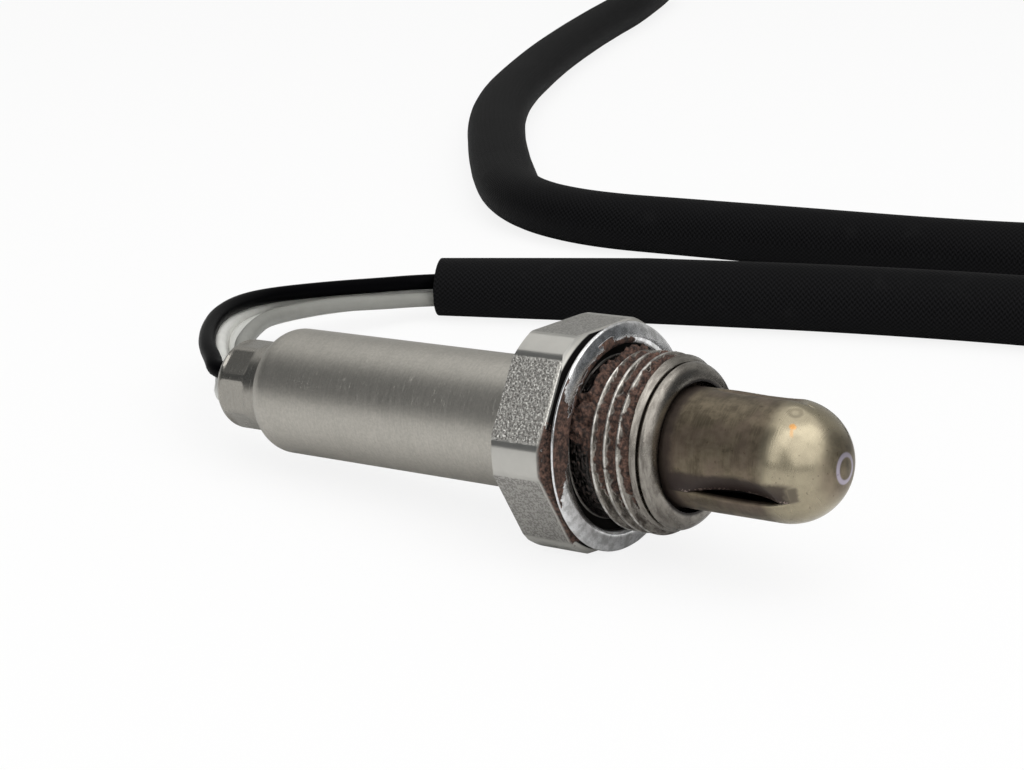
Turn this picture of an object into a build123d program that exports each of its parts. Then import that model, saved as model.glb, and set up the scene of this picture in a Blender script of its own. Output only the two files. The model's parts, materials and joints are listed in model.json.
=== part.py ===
from build123d import *
from math import atan2, cos, degrees, radians, sin, sqrt, tan
import os

# Four-wire heated oxygen sensor with an M18 x 1.5 thread, its lead and its connector.
# Lengths are millimetres. Each sensor piece is drawn in the sensor's own frame, with the axis
# along X, the tip towards +X and zero at the flange face of the hex. It is then tipped back until
# the gasket and the rear edge of the hex's lower flat both touch the ground.

# Threaded housing
HEX_AF = 22.0
HEX_CORNER_D = 24.03
HEX_L = 6.7
HEX_FRONT_BEVEL = 0.75
HEX_FRONT_FACE_D = 21.6
HEX_REAR_BEVEL = 0.35
UNDERCUT_D = 16.2
UNDERCUT_L = 2.4
THREAD_D = 18.0
THREAD_END_X = 7.1
LEAD_IN_D = 16.6
LEAD_IN_END_X = 8.1
NOSE_GROOVE_D = 15.6
NOSE_GROOVE_W = 0.25
NOSE_BULGE_R = 1.4
NOSE_X = 9.5
NOSE_BORE_GAP = 0.5
NOSE_BORE_L = 2.0
CORE_BORE_GAP = 0.5
SEAT_X = 1.0
REAR_BORE_GAP = 0.2
COLLAR_L = 5.5

# Gasket: a folded ring, dished so that only its inner part touches the flange, with a lip that
# the thread holds captive
GASKET_GAP = 0.3
GASKET_BAND_W = 2.2
GASKET_FOOT_W = 0.6
GASKET_FACE_ROUND = 0.55
GASKET_LIP_T = 0.25
GASKET_RIM_T = 0.45
GASKET_RIM_EDGE = 0.15
GASKET_T = 0.85
GASKET_DISH = 0.35

# Protection tube with pressed louvres
TIP_OD = 11.9
TIP_WALL = 0.5
TIP_FLANGE_W = 0.95
TIP_FLANGE_T = 0.6
TIP_FLANGE_GAP = 0.1
TIP_STRAIGHT_X = 20.3
LOUVRES = 3
LOUVRE_X = 17.0
LOUVRE_L = 11.2
LOUVRE_DEPTH = 1.2
LOUVRE_TURN = 22.0
LOUVRE_TILT = 12.0
LOUVRE_TOOL_W = 5.0
TIP_RING_OD = 3.2
TIP_RING_ID = 2.0
TIP_RING_DEPTH = 0.08

# Ceramic thimble, its seal, contact and heater
THIMBLE_D = 8.4
THIMBLE_TIP_D = 7.0
THIMBLE_BORE_D = 4.6
THIMBLE_END_X = 22.5
THIMBLE_FLANGE_D = 11.0
THIMBLE_FLANGE_L = 3.0
SEAL_T = 0.5
CONTACT_ID = 3.4
CONTACT_FLANGE_D = 10.0
CONTACT_FLANGE_T = 0.4
CONTACT_L = 8.0
HEATER_D = 3.2
HEATER_CHAMFER = 0.4
HEATER_END_GAP = 1.5

# Ceramic stack and spring inside the rear sleeve
SUPPORT_BORE_D = 5.0
SUPPORT_SHOULDER_GAP = 0.1
SUPPORT_END_X = -19.0
SPRING_T = 0.5
SPRING_RISE = 0.7
SPRING_ID = 6.4
CARRIER_L = 17.0
CARRIER_HOLE_D = 2.2

# Rear sleeve, necked and crimped round the grommet
SLEEVE_OD = 13.7
SLEEVE_WALL = 0.5
SHOULDER_X = -42.2
SHOULDER_R = 2.6
NECK_OD = 9.9
NECK_WALL = 0.75
NECK_END_X = -51.2
NECK_ROUND = 1.3
NECK_MOUTH_D = 7.0
CRIMP_SIDES = 8
CRIMP_AF = 9.35
CRIMP_L = 3.6
CRIMP_END_GAP = 1.0
CRIMP_WALL = 0.6125
GROMMET_RECESS = 0.4

# Wires and terminals
WIRE_OD = 2.0
WIRE_EXIT_PITCH = 3.0
WIRE_PITCH = 2.2
WIRE_DROP = 0.6
WIRE_END_GAP = 0.2
CRIMP_BARREL_OD = 2.5
CRIMP_BARREL_L = 5.0
WEB_T = 0.6
BLADE_W = 1.6
BLADE_T = 0.4
BLADE_OVERLAP = 6.0
FIT = 0.05

# Harness sleeve
HARNESS_OD = 9.0
HARNESS_ID = 6.6

# Connector
PLUG_L = 17.0
PLUG_W = 20.0
PLUG_H = 17.0
PLUG_EDGE = 1.6
TONGUE_L = 13.0
TONGUE_W = 14.0
TONGUE_H = 12.5
TONGUE_EDGE = 1.0
CAVITY_PITCH = 5.2
CAVITY_W = 2.9
SEAL_CAVITY_D = 4.4
SEAL_CAVITY_L = 7.0
LATCH_W = 7.0
LATCH_T = 1.5
LATCH_RISE = 1.6
LATCH_REACH = 11.0
LATCH_HOOK = 1.0
LOCK_X = 24.0
LOCK_T = 1.8
LOCK_DEPTH = 2.0
FRONT_SEAL_T = 1.1
FRONT_SEAL_L = 3.6
SEAL_RIBS = 3
RIB_GROOVE = 0.35
WIRE_SEAL_L = 5.6
WIRE_STRIP_X = 11.5
TERMINAL_L = 14.0
TERMINAL_W = 2.5
TERMINAL_WALL = 0.35

# Diameters that follow from the sizes above
GASKET_ID = THREAD_D + 2 * GASKET_GAP
GASKET_LIP_ID = UNDERCUT_D + 2 * GASKET_GAP
GASKET_OD = GASKET_ID + 2 * GASKET_BAND_W
NOSE_BORE_D = TIP_OD + 2 * NOSE_BORE_GAP
CORE_BORE_D = THIMBLE_D + 2 * CORE_BORE_GAP
REAR_BORE_D = THIMBLE_FLANGE_D + 2 * REAR_BORE_GAP
TIP_FLANGE_D = TIP_OD + 2 * TIP_FLANGE_W
TUBE_POCKET_D = TIP_FLANGE_D + 2 * TIP_FLANGE_GAP

# Stations along the axis that follow from the sizes above
POCKET_END_X = NOSE_X - NOSE_BORE_L
TIP_ROOT_X = POCKET_END_X - TIP_FLANGE_T
THIMBLE_REAR_X = SEAT_X - SEAL_T - THIMBLE_FLANGE_L
CONTACT_REAR_X = THIMBLE_REAR_X - CONTACT_FLANGE_T
SLEEVE_BORE_R = SLEEVE_OD / 2 - SLEEVE_WALL
SPRING_REAR_X = SUPPORT_END_X - SPRING_T - SPRING_RISE
CARRIER_END_X = SPRING_REAR_X - CARRIER_L
WIRE_CIRCLE_R = WIRE_EXIT_PITCH / sqrt(2)

# How the sensor rests
GASKET_RIM_X = GASKET_DISH + GASKET_RIM_T / 2
REST_TILT = degrees(atan2((GASKET_OD - HEX_AF) / 2, GASKET_RIM_X + HEX_L))
FLOOR_Z = -HEX_L * sin(radians(REST_TILT)) - HEX_AF / 2 * cos(radians(REST_TILT))

# Route of the lead, chosen by hand: plan position, and for the bare wires their height too
WIRE_BEND_X = -55.4
BARE_ROUTE = [(-63.5, 8.3, -4.4), (-72.8, 18.8, -5.3), (-79.0, 32.0, -6.5), (-80.3, 45.5, -7.3)]
BEFORE_MOUTH = (-77.2, 56.6)
MOUTH = (-72.4, 59.2)
HARNESS_ROUTE = [(-47.0, 72.8), (-16.0, 88.2), (20.0, 100.0), (55.0, 101.0), (87.0, 110.0),
                 (105.0, 138.0), (95.0, 169.0), (64.0, 178.0), (35.0, 160.0), (10.0, 135.0),
                 (-18.0, 119.5), (-53.0, 111.0), (-90.0, 101.3), (-120.0, 133.5), (-150.0, 171.5),
                 (-173.0, 214.0), (-193.0, 259.0), (-211.0, 306.0)]
HARNESS_END = (-224.5, 333.0)
PLUG_AT = (-235.4, 354.4)
PLUG_LEAD = 8.0
ARC_SHARE = 0.45


# ---------------------------------------------------------------- helpers

def turned(*outline):
    """A solid of revolution about the sensor's axis, from its half section as (x, radius) points."""
    return revolve(make_face(Polyline(*outline, close=True)), Axis.X)


def bar(radius, x_low, x_high):
    """A round bar on the sensor's axis."""
    return turned((x_low, 0), (x_high, 0), (x_high, radius), (x_low, radius))


def ring(outer_d, inner_d, x_low, x_high):
    """A plain ring on the sensor's axis."""
    return turned((x_low, inner_d / 2), (x_high, inner_d / 2), (x_high, outer_d / 2), (x_low, outer_d / 2))


def prism(sides, across_flats, x_low, x_high):
    """A regular prism along the sensor's axis."""
    outline = Plane.YZ.offset(x_low) * RegularPolygon(across_flats / 2, sides, major_radius=False)
    return extrude(outline, x_high - x_low)


def at_rest(piece):
    """A sensor piece tipped from the sensor's own frame to the way it lies."""
    return Rot(0, -REST_TILT, 0) * piece


def point_at_rest(x, y, z):
    """A point of the sensor's own frame where it lies."""
    return at_rest(Pos(x, y, z)).position


# ---------------------------------------------------------------- hot end

def hex_housing():
    face_r = HEX_FRONT_FACE_D / 2
    corner_r = HEX_CORNER_D / 2
    hex_blank = turned((-HEX_L, 0), (-HEX_L, corner_r - HEX_REAR_BEVEL), (-HEX_L + HEX_REAR_BEVEL, corner_r),
                       (-HEX_FRONT_BEVEL, corner_r), (0, face_r), (0, 0))
    hexagon = prism(6, HEX_AF, -HEX_L, 0) & hex_blank
    nose_bore_r = NOSE_BORE_D / 2
    nose_x = LEAD_IN_END_X + NOSE_GROOVE_W
    shank = turned((0, 0), (0, UNDERCUT_D / 2), (UNDERCUT_L, UNDERCUT_D / 2),
                   (UNDERCUT_L + (THREAD_D - UNDERCUT_D) / 2, THREAD_D / 2), (THREAD_END_X, THREAD_D / 2),
                   (LEAD_IN_END_X, LEAD_IN_D / 2), (LEAD_IN_END_X, NOSE_GROOVE_D / 2),
                   (nose_x, NOSE_GROOVE_D / 2), (nose_x, 0))
    bulge = make_face([Line((nose_x, 0), (NOSE_X, 0)), Line((NOSE_X, 0), (NOSE_X, nose_bore_r)),
                       RadiusArc((NOSE_X, nose_bore_r), (nose_x, LEAD_IN_D / 2), -NOSE_BULGE_R),
                       Line((nose_x, LEAD_IN_D / 2), (nose_x, 0))])
    collar = bar(SLEEVE_OD / 2 - SLEEVE_WALL - FIT, -HEX_L - COLLAR_L, -HEX_L)
    body = hexagon + shank + revolve(bulge, Axis.X) + collar
    body -= bar(REAR_BORE_D / 2, -HEX_L - COLLAR_L, SEAT_X)
    body -= bar(CORE_BORE_D / 2, SEAT_X, NOSE_X)
    body -= bar(TUBE_POCKET_D / 2, TIP_ROOT_X, POCKET_END_X)
    body -= bar(NOSE_BORE_D / 2, POCKET_END_X, NOSE_X)
    return body


def gasket_ring():
    inner_r, rim_r, edge = GASKET_ID / 2, GASKET_OD / 2, GASKET_RIM_EDGE
    rim_front = GASKET_DISH + GASKET_RIM_T
    front = GASKET_DISH + GASKET_T
    return turned((0, GASKET_LIP_ID / 2), (0, inner_r + GASKET_FOOT_W), (GASKET_DISH, rim_r - edge),
                  (GASKET_DISH + edge, rim_r), (rim_front - edge, rim_r), (rim_front, rim_r - edge),
                  (front, inner_r + GASKET_FACE_ROUND), (front - edge, inner_r), (GASKET_LIP_T, inner_r),
                  (GASKET_LIP_T, GASKET_LIP_ID / 2))


def domed_plug(radius, x_low):
    """A bar that ends in a half sphere, whose centre stays where the tip tube stops being straight."""
    return bar(radius, x_low, TIP_STRAIGHT_X) + Pos(TIP_STRAIGHT_X, 0, 0) * Sphere(radius)


def louvre_tools(extra):
    """The wheels that press the louvres in. Each has its flat side on the slit, and leans so that
    it presses deepest there."""
    wheel_r = (LOUVRE_L ** 2 / 4 + LOUVRE_DEPTH ** 2) / (2 * LOUVRE_DEPTH)
    reach = TIP_OD / 2 - LOUVRE_DEPTH + wheel_r
    wheel = Pos(LOUVRE_X, 0, 0) * Plane(origin=(0, -reach, 0), z_dir=(0, 0, 1)) * Circle(wheel_r + extra)
    wheel = extrude(wheel, LOUVRE_TOOL_W)
    wheel = Pos(0, -TIP_OD / 2, 0) * Rot(LOUVRE_TILT, 0, 0) * Pos(0, TIP_OD / 2, 0) * wheel
    return [Rot(LOUVRE_TURN + turn * 360 / LOUVRES, 0, 0) * wheel for turn in range(LOUVRES)]


def protection_tube():
    skin = domed_plug(TIP_OD / 2, TIP_ROOT_X)
    core = domed_plug(TIP_OD / 2 - TIP_WALL, TIP_ROOT_X)
    for tool, inner_tool in zip(louvre_tools(0), louvre_tools(TIP_WALL)):
        skin -= tool
        core -= inner_tool
    tube = skin + bar(TIP_FLANGE_D / 2, TIP_ROOT_X, POCKET_END_X) - core
    apex = TIP_STRAIGHT_X + TIP_OD / 2
    sag = TIP_OD / 2 - sqrt((TIP_OD / 2) ** 2 - (TIP_RING_OD / 2) ** 2)
    floor_of_ring = domed_plug(TIP_OD / 2 - TIP_RING_DEPTH, TIP_ROOT_X)
    return tube - (ring(TIP_RING_OD, TIP_RING_ID, apex - sag - TIP_WALL / 2, apex) - floor_of_ring)


def sensor_thimble():
    front = SEAT_X - SEAL_T
    rear = front - THIMBLE_FLANGE_L
    tip_r = THIMBLE_TIP_D / 2
    outside = turned((rear, 0), (rear, THIMBLE_FLANGE_D / 2), (front, THIMBLE_FLANGE_D / 2), (front, THIMBLE_D / 2),
                     (POCKET_END_X, THIMBLE_D / 2), (THIMBLE_END_X - tip_r, tip_r), (THIMBLE_END_X - tip_r, 0))
    outside += Pos(THIMBLE_END_X - tip_r, 0, 0) * Sphere(tip_r)
    bore_end = THIMBLE_END_X - tip_r
    return outside - bar(THIMBLE_BORE_D / 2, rear, bore_end) - Pos(bore_end, 0, 0) * Sphere(THIMBLE_BORE_D / 2)


def thimble_seal_ring():
    return ring(THIMBLE_FLANGE_D, CORE_BORE_D, SEAT_X - SEAL_T, SEAT_X)


def contact_element():
    stem = ring(THIMBLE_BORE_D - 2 * FIT, CONTACT_ID, THIMBLE_REAR_X, THIMBLE_REAR_X + CONTACT_L)
    return stem + ring(CONTACT_FLANGE_D, CONTACT_ID, CONTACT_REAR_X, THIMBLE_REAR_X)


def heater_rod():
    front = THIMBLE_END_X - (THIMBLE_TIP_D - THIMBLE_BORE_D) / 2 - HEATER_END_GAP
    return chamfer(bar(HEATER_D / 2, SUPPORT_END_X, front).edges(), HEATER_CHAMFER)


# ---------------------------------------------------------------- ceramic stack and rear sleeve

def ceramic_support_tube():
    step = -HEX_L - COLLAR_L - SUPPORT_SHOULDER_GAP
    front_r = REAR_BORE_D / 2 - FIT
    return turned((CONTACT_REAR_X, SUPPORT_BORE_D / 2), (CONTACT_REAR_X, front_r), (step, front_r),
                  (step, SLEEVE_BORE_R - FIT), (SUPPORT_END_X, SLEEVE_BORE_R - FIT),
                  (SUPPORT_END_X, SUPPORT_BORE_D / 2))


def disc_spring():
    outer = SLEEVE_BORE_R - 2 * FIT
    inner = SPRING_ID / 2
    return turned((SUPPORT_END_X, outer), (SUPPORT_END_X - SPRING_T, outer), (SPRING_REAR_X, inner),
                  (SPRING_REAR_X + SPRING_T, inner))


def at_wire(angle, piece):
    """A piece drawn on the axis, moved to one of the four wire holes, which is at this angle."""
    return Rot(angle, 0, 0) * Pos(0, WIRE_CIRCLE_R, 0) * piece


def drilled(body, diameter, x_low, x_high):
    """The body with the four wire holes bored through this stretch of it."""
    for angle in WIRE_ANGLES.values():
        body -= at_wire(angle, bar(diameter / 2, x_low, x_high))
    return body


def terminal_carrier():
    body = bar(SLEEVE_BORE_R - FIT, CARRIER_END_X, SPRING_REAR_X)
    return drilled(body, CARRIER_HOLE_D, CARRIER_END_X, SPRING_REAR_X)


def neck_outline(wall_main, wall_neck, x_front):
    """Half section of the rear sleeve: its outside when the walls are zero, its bore otherwise."""
    main_r = SLEEVE_OD / 2 - wall_main
    neck_r = NECK_OD / 2 - wall_neck
    bend = SHOULDER_R - wall_main
    turn = (bend - (main_r - neck_r)) / bend
    drop_x = SHOULDER_X - bend * sqrt(1 - turn ** 2)
    end = NECK_END_X + (GROMMET_RECESS if wall_neck else 0)
    rounding = NECK_ROUND - wall_neck / 2
    return make_face([
        Line((x_front, 0), (x_front, main_r)),
        Line((x_front, main_r), (SHOULDER_X, main_r)),
        CenterArc((SHOULDER_X, main_r - bend), bend, 90, degrees(atan2(sqrt(1 - turn ** 2), turn))),
        Line((drop_x, neck_r), (end + rounding, neck_r)),
        CenterArc((end + rounding, neck_r - rounding), rounding, 90, 90),
        Line((end, neck_r - rounding), (end, 0)),
        Line((end, 0), (x_front, 0))])


def crimped(body, allowance):
    """The body with the flats of the crimp on its neck."""
    high = NECK_END_X + CRIMP_END_GAP + CRIMP_L
    low = NECK_END_X + CRIMP_END_GAP
    band = ring(SLEEVE_OD, NECK_OD / 4, low, high) - prism(CRIMP_SIDES, CRIMP_AF - 2 * allowance, low, high)
    return body - band


def rear_sleeve():
    outside = crimped(revolve(neck_outline(0, 0, -HEX_L), Axis.X), 0)
    bore = revolve(neck_outline(SLEEVE_WALL, NECK_WALL, -HEX_L), Axis.X)
    mouth = bar(NECK_MOUTH_D / 2, NECK_END_X, NECK_END_X + NECK_ROUND)
    return outside - crimped(bore, CRIMP_WALL) - mouth


def wire_grommet():
    filling = revolve(neck_outline(SLEEVE_WALL, NECK_WALL, CARRIER_END_X), Axis.X)
    filling = crimped(filling, CRIMP_WALL)
    filling = drilled(filling, WIRE_OD + 2 * FIT, NECK_END_X, CARRIER_END_X)
    return drilled(filling, CRIMP_BARREL_OD + 2 * FIT, CARRIER_END_X - CRIMP_BARREL_L, CARRIER_END_X)


def terminal(angle):
    """A crimp barrel on the end of a wire, with a blade that runs forward beside the heater."""
    barrel_rear = CARRIER_END_X - CRIMP_BARREL_L
    barrel = ring(CRIMP_BARREL_OD, WIRE_OD + 2 * FIT, barrel_rear, CARRIER_END_X - WEB_T)
    web = bar(CRIMP_BARREL_OD / 2, CARRIER_END_X - WEB_T, CARRIER_END_X)
    blade_l = SUPPORT_END_X + BLADE_OVERLAP - CARRIER_END_X
    blade = Pos(CARRIER_END_X + blade_l / 2, 0, 0) * Box(blade_l, BLADE_T, BLADE_W)
    return at_wire(angle, barrel + web + blade)


# ---------------------------------------------------------------- lead

def on_floor(points, height):
    """Plan positions raised to this height above the ground."""
    return [(x, y, FLOOR_Z + height) for x, y in points]


def corner_radii(route):
    """The arc at each inner point of a route: it takes the same share of the shorter run beside it."""
    radii = []
    for before, here, after in zip(route, route[1:], route[2:]):
        run_in, run_out = Vector(*here) - Vector(*before), Vector(*after) - Vector(*here)
        half_turn = radians(run_in.get_angle(run_out)) / 2
        radii.append(ARC_SHARE * min(run_in.length, run_out.length) / tan(half_turn))
    return radii


def plan_normals(route):
    """For each point, the sideways step to the left that keeps both runs parallel, and the turn's sign."""
    heads = []
    for here, after in zip(route, route[1:]):
        run = Vector(after[0] - here[0], after[1] - here[1], 0)
        heads.append(run.normalized())
    steps = []
    for run_in, run_out in zip([heads[0]] + heads, heads + [heads[-1]]):
        across_in, across_out = Vector(-run_in.Y, run_in.X, 0), Vector(-run_out.Y, run_out.X, 0)
        step = (across_in + across_out) * (1 / (1 + across_in.dot(across_out)))
        left_turn = 1 if run_in.cross(run_out).Z > 0 else -1
        steps.append((step, left_turn))
    return steps


def cord(route, radii, section):
    """A section swept along straight runs joined by tangent arcs."""
    path = FilletPolyline(*route, radius=radii)
    return sweep(Plane(origin=path @ 0, z_dir=path % 0) * section, path=path)


def plug_frame():
    """Where the connector lies: its rear face centre, facing along the lead."""
    heading = degrees(atan2(PLUG_AT[1] - HARNESS_END[1], PLUG_AT[0] - HARNESS_END[0]))
    return Location((PLUG_AT[0], PLUG_AT[1], FLOOR_Z + PLUG_H / 2), (0, 0, heading))


def in_plug(x, y, z):
    """A point of the connector's own frame where it lies."""
    return tuple((plug_frame() * Pos(x, y, z)).position)


def bundle_route():
    """The middle of the four wires, from the sensor's terminals to the connector's."""
    inside = [tuple(point_at_rest(x, 0, 0)) for x in (CARRIER_END_X - WEB_T - WIRE_END_GAP, WIRE_BEND_X)]
    sleeved = on_floor([BEFORE_MOUTH] + HARNESS_ROUTE + [HARNESS_END], HARNESS_OD / 2 - WIRE_DROP)
    return inside + BARE_ROUTE + sleeved + [in_plug(-PLUG_LEAD, 0, 0), in_plug(WIRE_STRIP_X, 0, 0)]


def wire(left, up):
    """One wire of the bundle, on the side that the signs of left and up give."""
    middle = bundle_route()
    radii = corner_radii(middle)
    count = len(middle)
    spread = [WIRE_EXIT_PITCH / 2] * 2 + [WIRE_PITCH / 2] * (count - 4) + [CAVITY_PITCH / 2] * 2
    route = []
    for point, (step, _), gap in zip(middle, plan_normals(middle), spread):
        route.append(tuple(Vector(*point) + step * (left * gap) + Vector(0, 0, up * gap)))
    turns = [turn for _, turn in plan_normals(middle)][1:-1]
    wire_radii = [radius - turn * left * gap for radius, turn, gap in zip(radii, turns, spread[1:-1])]
    return cord(route, wire_radii, Circle(WIRE_OD / 2))


def harness_sleeve():
    route = on_floor([MOUTH] + HARNESS_ROUTE + [HARNESS_END], HARNESS_OD / 2)
    first_corner = 2 + len(BARE_ROUTE)
    radii = corner_radii(bundle_route())[first_corner:first_corner + len(HARNESS_ROUTE)]
    return cord(route, radii, Circle(HARNESS_OD / 2) - Circle(HARNESS_ID / 2))


# ---------------------------------------------------------------- connector

def block(length, width, height, edge, x_low=0):
    """A block along the connector's axis with its four long edges rounded."""
    outline = Plane.YZ.offset(x_low) * RectangleRounded(width, height, edge)
    return extrude(outline, length)


def in_cavities(piece):
    """Copies of a piece drawn on the axis, one in each cavity."""
    half = CAVITY_PITCH / 2
    return [Pos(0, left * half, up * half) * piece for left, up in WIRE_PLACES.values()]


def connector_housing():
    body = block(PLUG_L, PLUG_W, PLUG_H, PLUG_EDGE)
    body += block(TONGUE_L, TONGUE_W, TONGUE_H, TONGUE_EDGE, PLUG_L)
    body += latch()
    cavity = Pos((PLUG_L + TONGUE_L) / 2, 0, 0) * Box(PLUG_L + TONGUE_L, CAVITY_W, CAVITY_W)
    mouth = bar(SEAL_CAVITY_D / 2, 0, SEAL_CAVITY_L)
    for cut in in_cavities(cavity + mouth):
        body -= cut
    return body - lock_plate(0)


def latch():
    """The latch arm: it springs from the top of the housing and reaches forward over the tongue."""
    top = PLUG_H / 2
    under = top + LATCH_RISE
    tip = PLUG_L + LATCH_REACH
    side = make_face(Polyline((0, top), (0, under), (LATCH_T, under + LATCH_T), (tip, under + LATCH_T),
                              (tip, under - LATCH_HOOK), (tip - LATCH_T, under), (2 * LATCH_T, under),
                              (2 * LATCH_T, top), close=True))
    return extrude(Plane.XZ.offset(-LATCH_W / 2) * side, LATCH_W)


def lock_plate(gap):
    """The plate that locks the terminals, pushed up into the underside of the tongue."""
    low = -TONGUE_H / 2
    plate = Box(LOCK_T - 2 * gap, TONGUE_W - 4 * TONGUE_EDGE - 2 * gap, LOCK_DEPTH - gap)
    return Pos(LOCK_X, 0, low + (LOCK_DEPTH - gap) / 2) * plate


def connector_lock():
    return lock_plate(FIT)


def front_seal():
    outer = block(FRONT_SEAL_L, TONGUE_W + 2 * FRONT_SEAL_T, TONGUE_H + 2 * FRONT_SEAL_T, 2 * TONGUE_EDGE, PLUG_L)
    hole = block(FRONT_SEAL_L, TONGUE_W, TONGUE_H, TONGUE_EDGE, PLUG_L)
    seal = outer - hole
    bands = 2 * SEAL_RIBS - 1
    groove_w = FRONT_SEAL_L / bands
    waist = block(groove_w, TONGUE_W + 2 * FRONT_SEAL_T - 2 * RIB_GROOVE,
                  TONGUE_H + 2 * FRONT_SEAL_T - 2 * RIB_GROOVE, 2 * TONGUE_EDGE - RIB_GROOVE)
    wide = block(groove_w, PLUG_W, PLUG_H, PLUG_EDGE)
    for start in range(1, bands, 2):
        seal -= Pos(PLUG_L + start * groove_w, 0, 0) * (wide - waist)
    return seal


def wire_seal():
    outer = SEAL_CAVITY_D / 2 - FIT
    bore = WIRE_OD / 2 + FIT
    bands = 2 * SEAL_RIBS - 1
    pitch = WIRE_SEAL_L / bands
    outline = [(0, bore), (0, outer)]
    for start in range(1, bands, 2):
        low, high = start * pitch, (start + 1) * pitch
        outline += [(low, outer), (low, outer - RIB_GROOVE), (high, outer - RIB_GROOVE), (high, outer)]
    outline += [(WIRE_SEAL_L, outer), (WIRE_SEAL_L, bore)]
    return turned(*outline)


def plug_terminal():
    """A box terminal with its crimp barrel on the end of a wire."""
    barrel = ring(TERMINAL_W, WIRE_OD + 2 * FIT, SEAL_CAVITY_L + FIT, WIRE_STRIP_X)
    web = bar(TERMINAL_W / 2, WIRE_STRIP_X, WIRE_STRIP_X + TERMINAL_WALL)
    inner_w = TERMINAL_W - 2 * TERMINAL_WALL
    middle = Pos(WIRE_STRIP_X + TERMINAL_WALL + TERMINAL_L / 2, 0, 0)
    return barrel + web + middle * (Box(TERMINAL_L, TERMINAL_W, TERMINAL_W) - Box(TERMINAL_L, inner_w, inner_w))


# ---------------------------------------------------------------- output

WIRE_PLACES = {"black": (1, 1), "grey": (-1, 1), "white_1": (1, -1), "white_2": (-1, -1)}
WIRE_ANGLES = {name: degrees(atan2(up, -left)) for name, (left, up) in WIRE_PLACES.items()}
WIRE_JOBS = {"black": "signal_terminal", "grey": "ground_terminal",
             "white_1": "heater_terminal_1", "white_2": "heater_terminal_2"}

sensor = {
    "hex_housing": hex_housing(),
    "gasket_ring": gasket_ring(),
    "protection_tube": protection_tube(),
    "sensor_thimble": sensor_thimble(),
    "thimble_seal_ring": thimble_seal_ring(),
    "contact_element": contact_element(),
    "heater_rod": heater_rod(),
    "ceramic_support_tube": ceramic_support_tube(),
    "disc_spring": disc_spring(),
    "terminal_carrier": terminal_carrier(),
    "rear_sleeve": rear_sleeve(),
    "wire_grommet": wire_grommet(),
}
for name, job in WIRE_JOBS.items():
    sensor[job] = terminal(WIRE_ANGLES[name])

connector = {
    "connector_housing": connector_housing(),
    "connector_lock": connector_lock(),
    "connector_front_seal": front_seal(),
}
for number, (seal, contact) in enumerate(zip(in_cavities(wire_seal()), in_cavities(plug_terminal())), 1):
    connector[f"wire_seal_{number}"] = seal
    connector[f"plug_terminal_{number}"] = contact

pieces = {name: at_rest(piece) for name, piece in sensor.items()}
pieces.update({name: plug_frame() * piece for name, piece in connector.items()})
pieces["harness_sleeve"] = harness_sleeve()
for name, (left, up) in WIRE_PLACES.items():
    pieces[f"wire_{name}"] = wire(left, up)

print("rest tilt", round(REST_TILT, 3), "floor", round(FLOOR_Z, 4))
print("lead corner radii", [round(radius, 1) for radius in corner_radii(bundle_route())])
os.makedirs("parts", exist_ok=True)
for name, piece in pieces.items():
    export_step(piece, f"parts/{name}.step")
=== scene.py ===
import json
import math

import bmesh
import bpy
import numpy as np
from mathutils import Matrix, Vector, noise


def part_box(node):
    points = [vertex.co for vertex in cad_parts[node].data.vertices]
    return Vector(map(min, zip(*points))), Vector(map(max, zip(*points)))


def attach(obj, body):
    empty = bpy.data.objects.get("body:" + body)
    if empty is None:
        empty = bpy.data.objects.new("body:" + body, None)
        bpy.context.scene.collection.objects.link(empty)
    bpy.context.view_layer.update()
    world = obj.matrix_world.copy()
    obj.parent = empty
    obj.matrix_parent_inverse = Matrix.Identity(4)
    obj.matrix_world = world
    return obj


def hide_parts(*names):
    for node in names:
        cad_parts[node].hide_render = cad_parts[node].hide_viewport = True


bl_info = {
    "name": "Oxygen sensor",
    "version": (1, 0, 0),
    "blender": (4, 5, 0),
    "location": "View3D > Sidebar > Oxygen sensor",
    "description": "Builds a used oxygen sensor, its lead and the table it lies on around a packed frame",
    "category": "Object",
}

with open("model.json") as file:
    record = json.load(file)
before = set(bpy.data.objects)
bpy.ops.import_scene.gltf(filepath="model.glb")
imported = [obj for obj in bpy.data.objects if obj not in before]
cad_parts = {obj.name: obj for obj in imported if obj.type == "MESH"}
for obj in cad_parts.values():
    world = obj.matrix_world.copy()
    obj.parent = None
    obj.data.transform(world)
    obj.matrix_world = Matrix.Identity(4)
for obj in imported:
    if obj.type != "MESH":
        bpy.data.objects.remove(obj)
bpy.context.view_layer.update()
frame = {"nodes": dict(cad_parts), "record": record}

MM = 0.001
SEAT = next(mount for mount in frame["record"]["mounts"] if mount["name"] == "sealing_seat")
REST_TILT = math.atan2(SEAT["axis"][2], SEAT["axis"][0])
FLOOR_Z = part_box("harness_sleeve")[0][2] / MM
TO_REST = np.array(Matrix.Rotation(-REST_TILT, 3, "Y"))


# ---------------------------------------------------------------- sizes and colours a user may change

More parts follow.
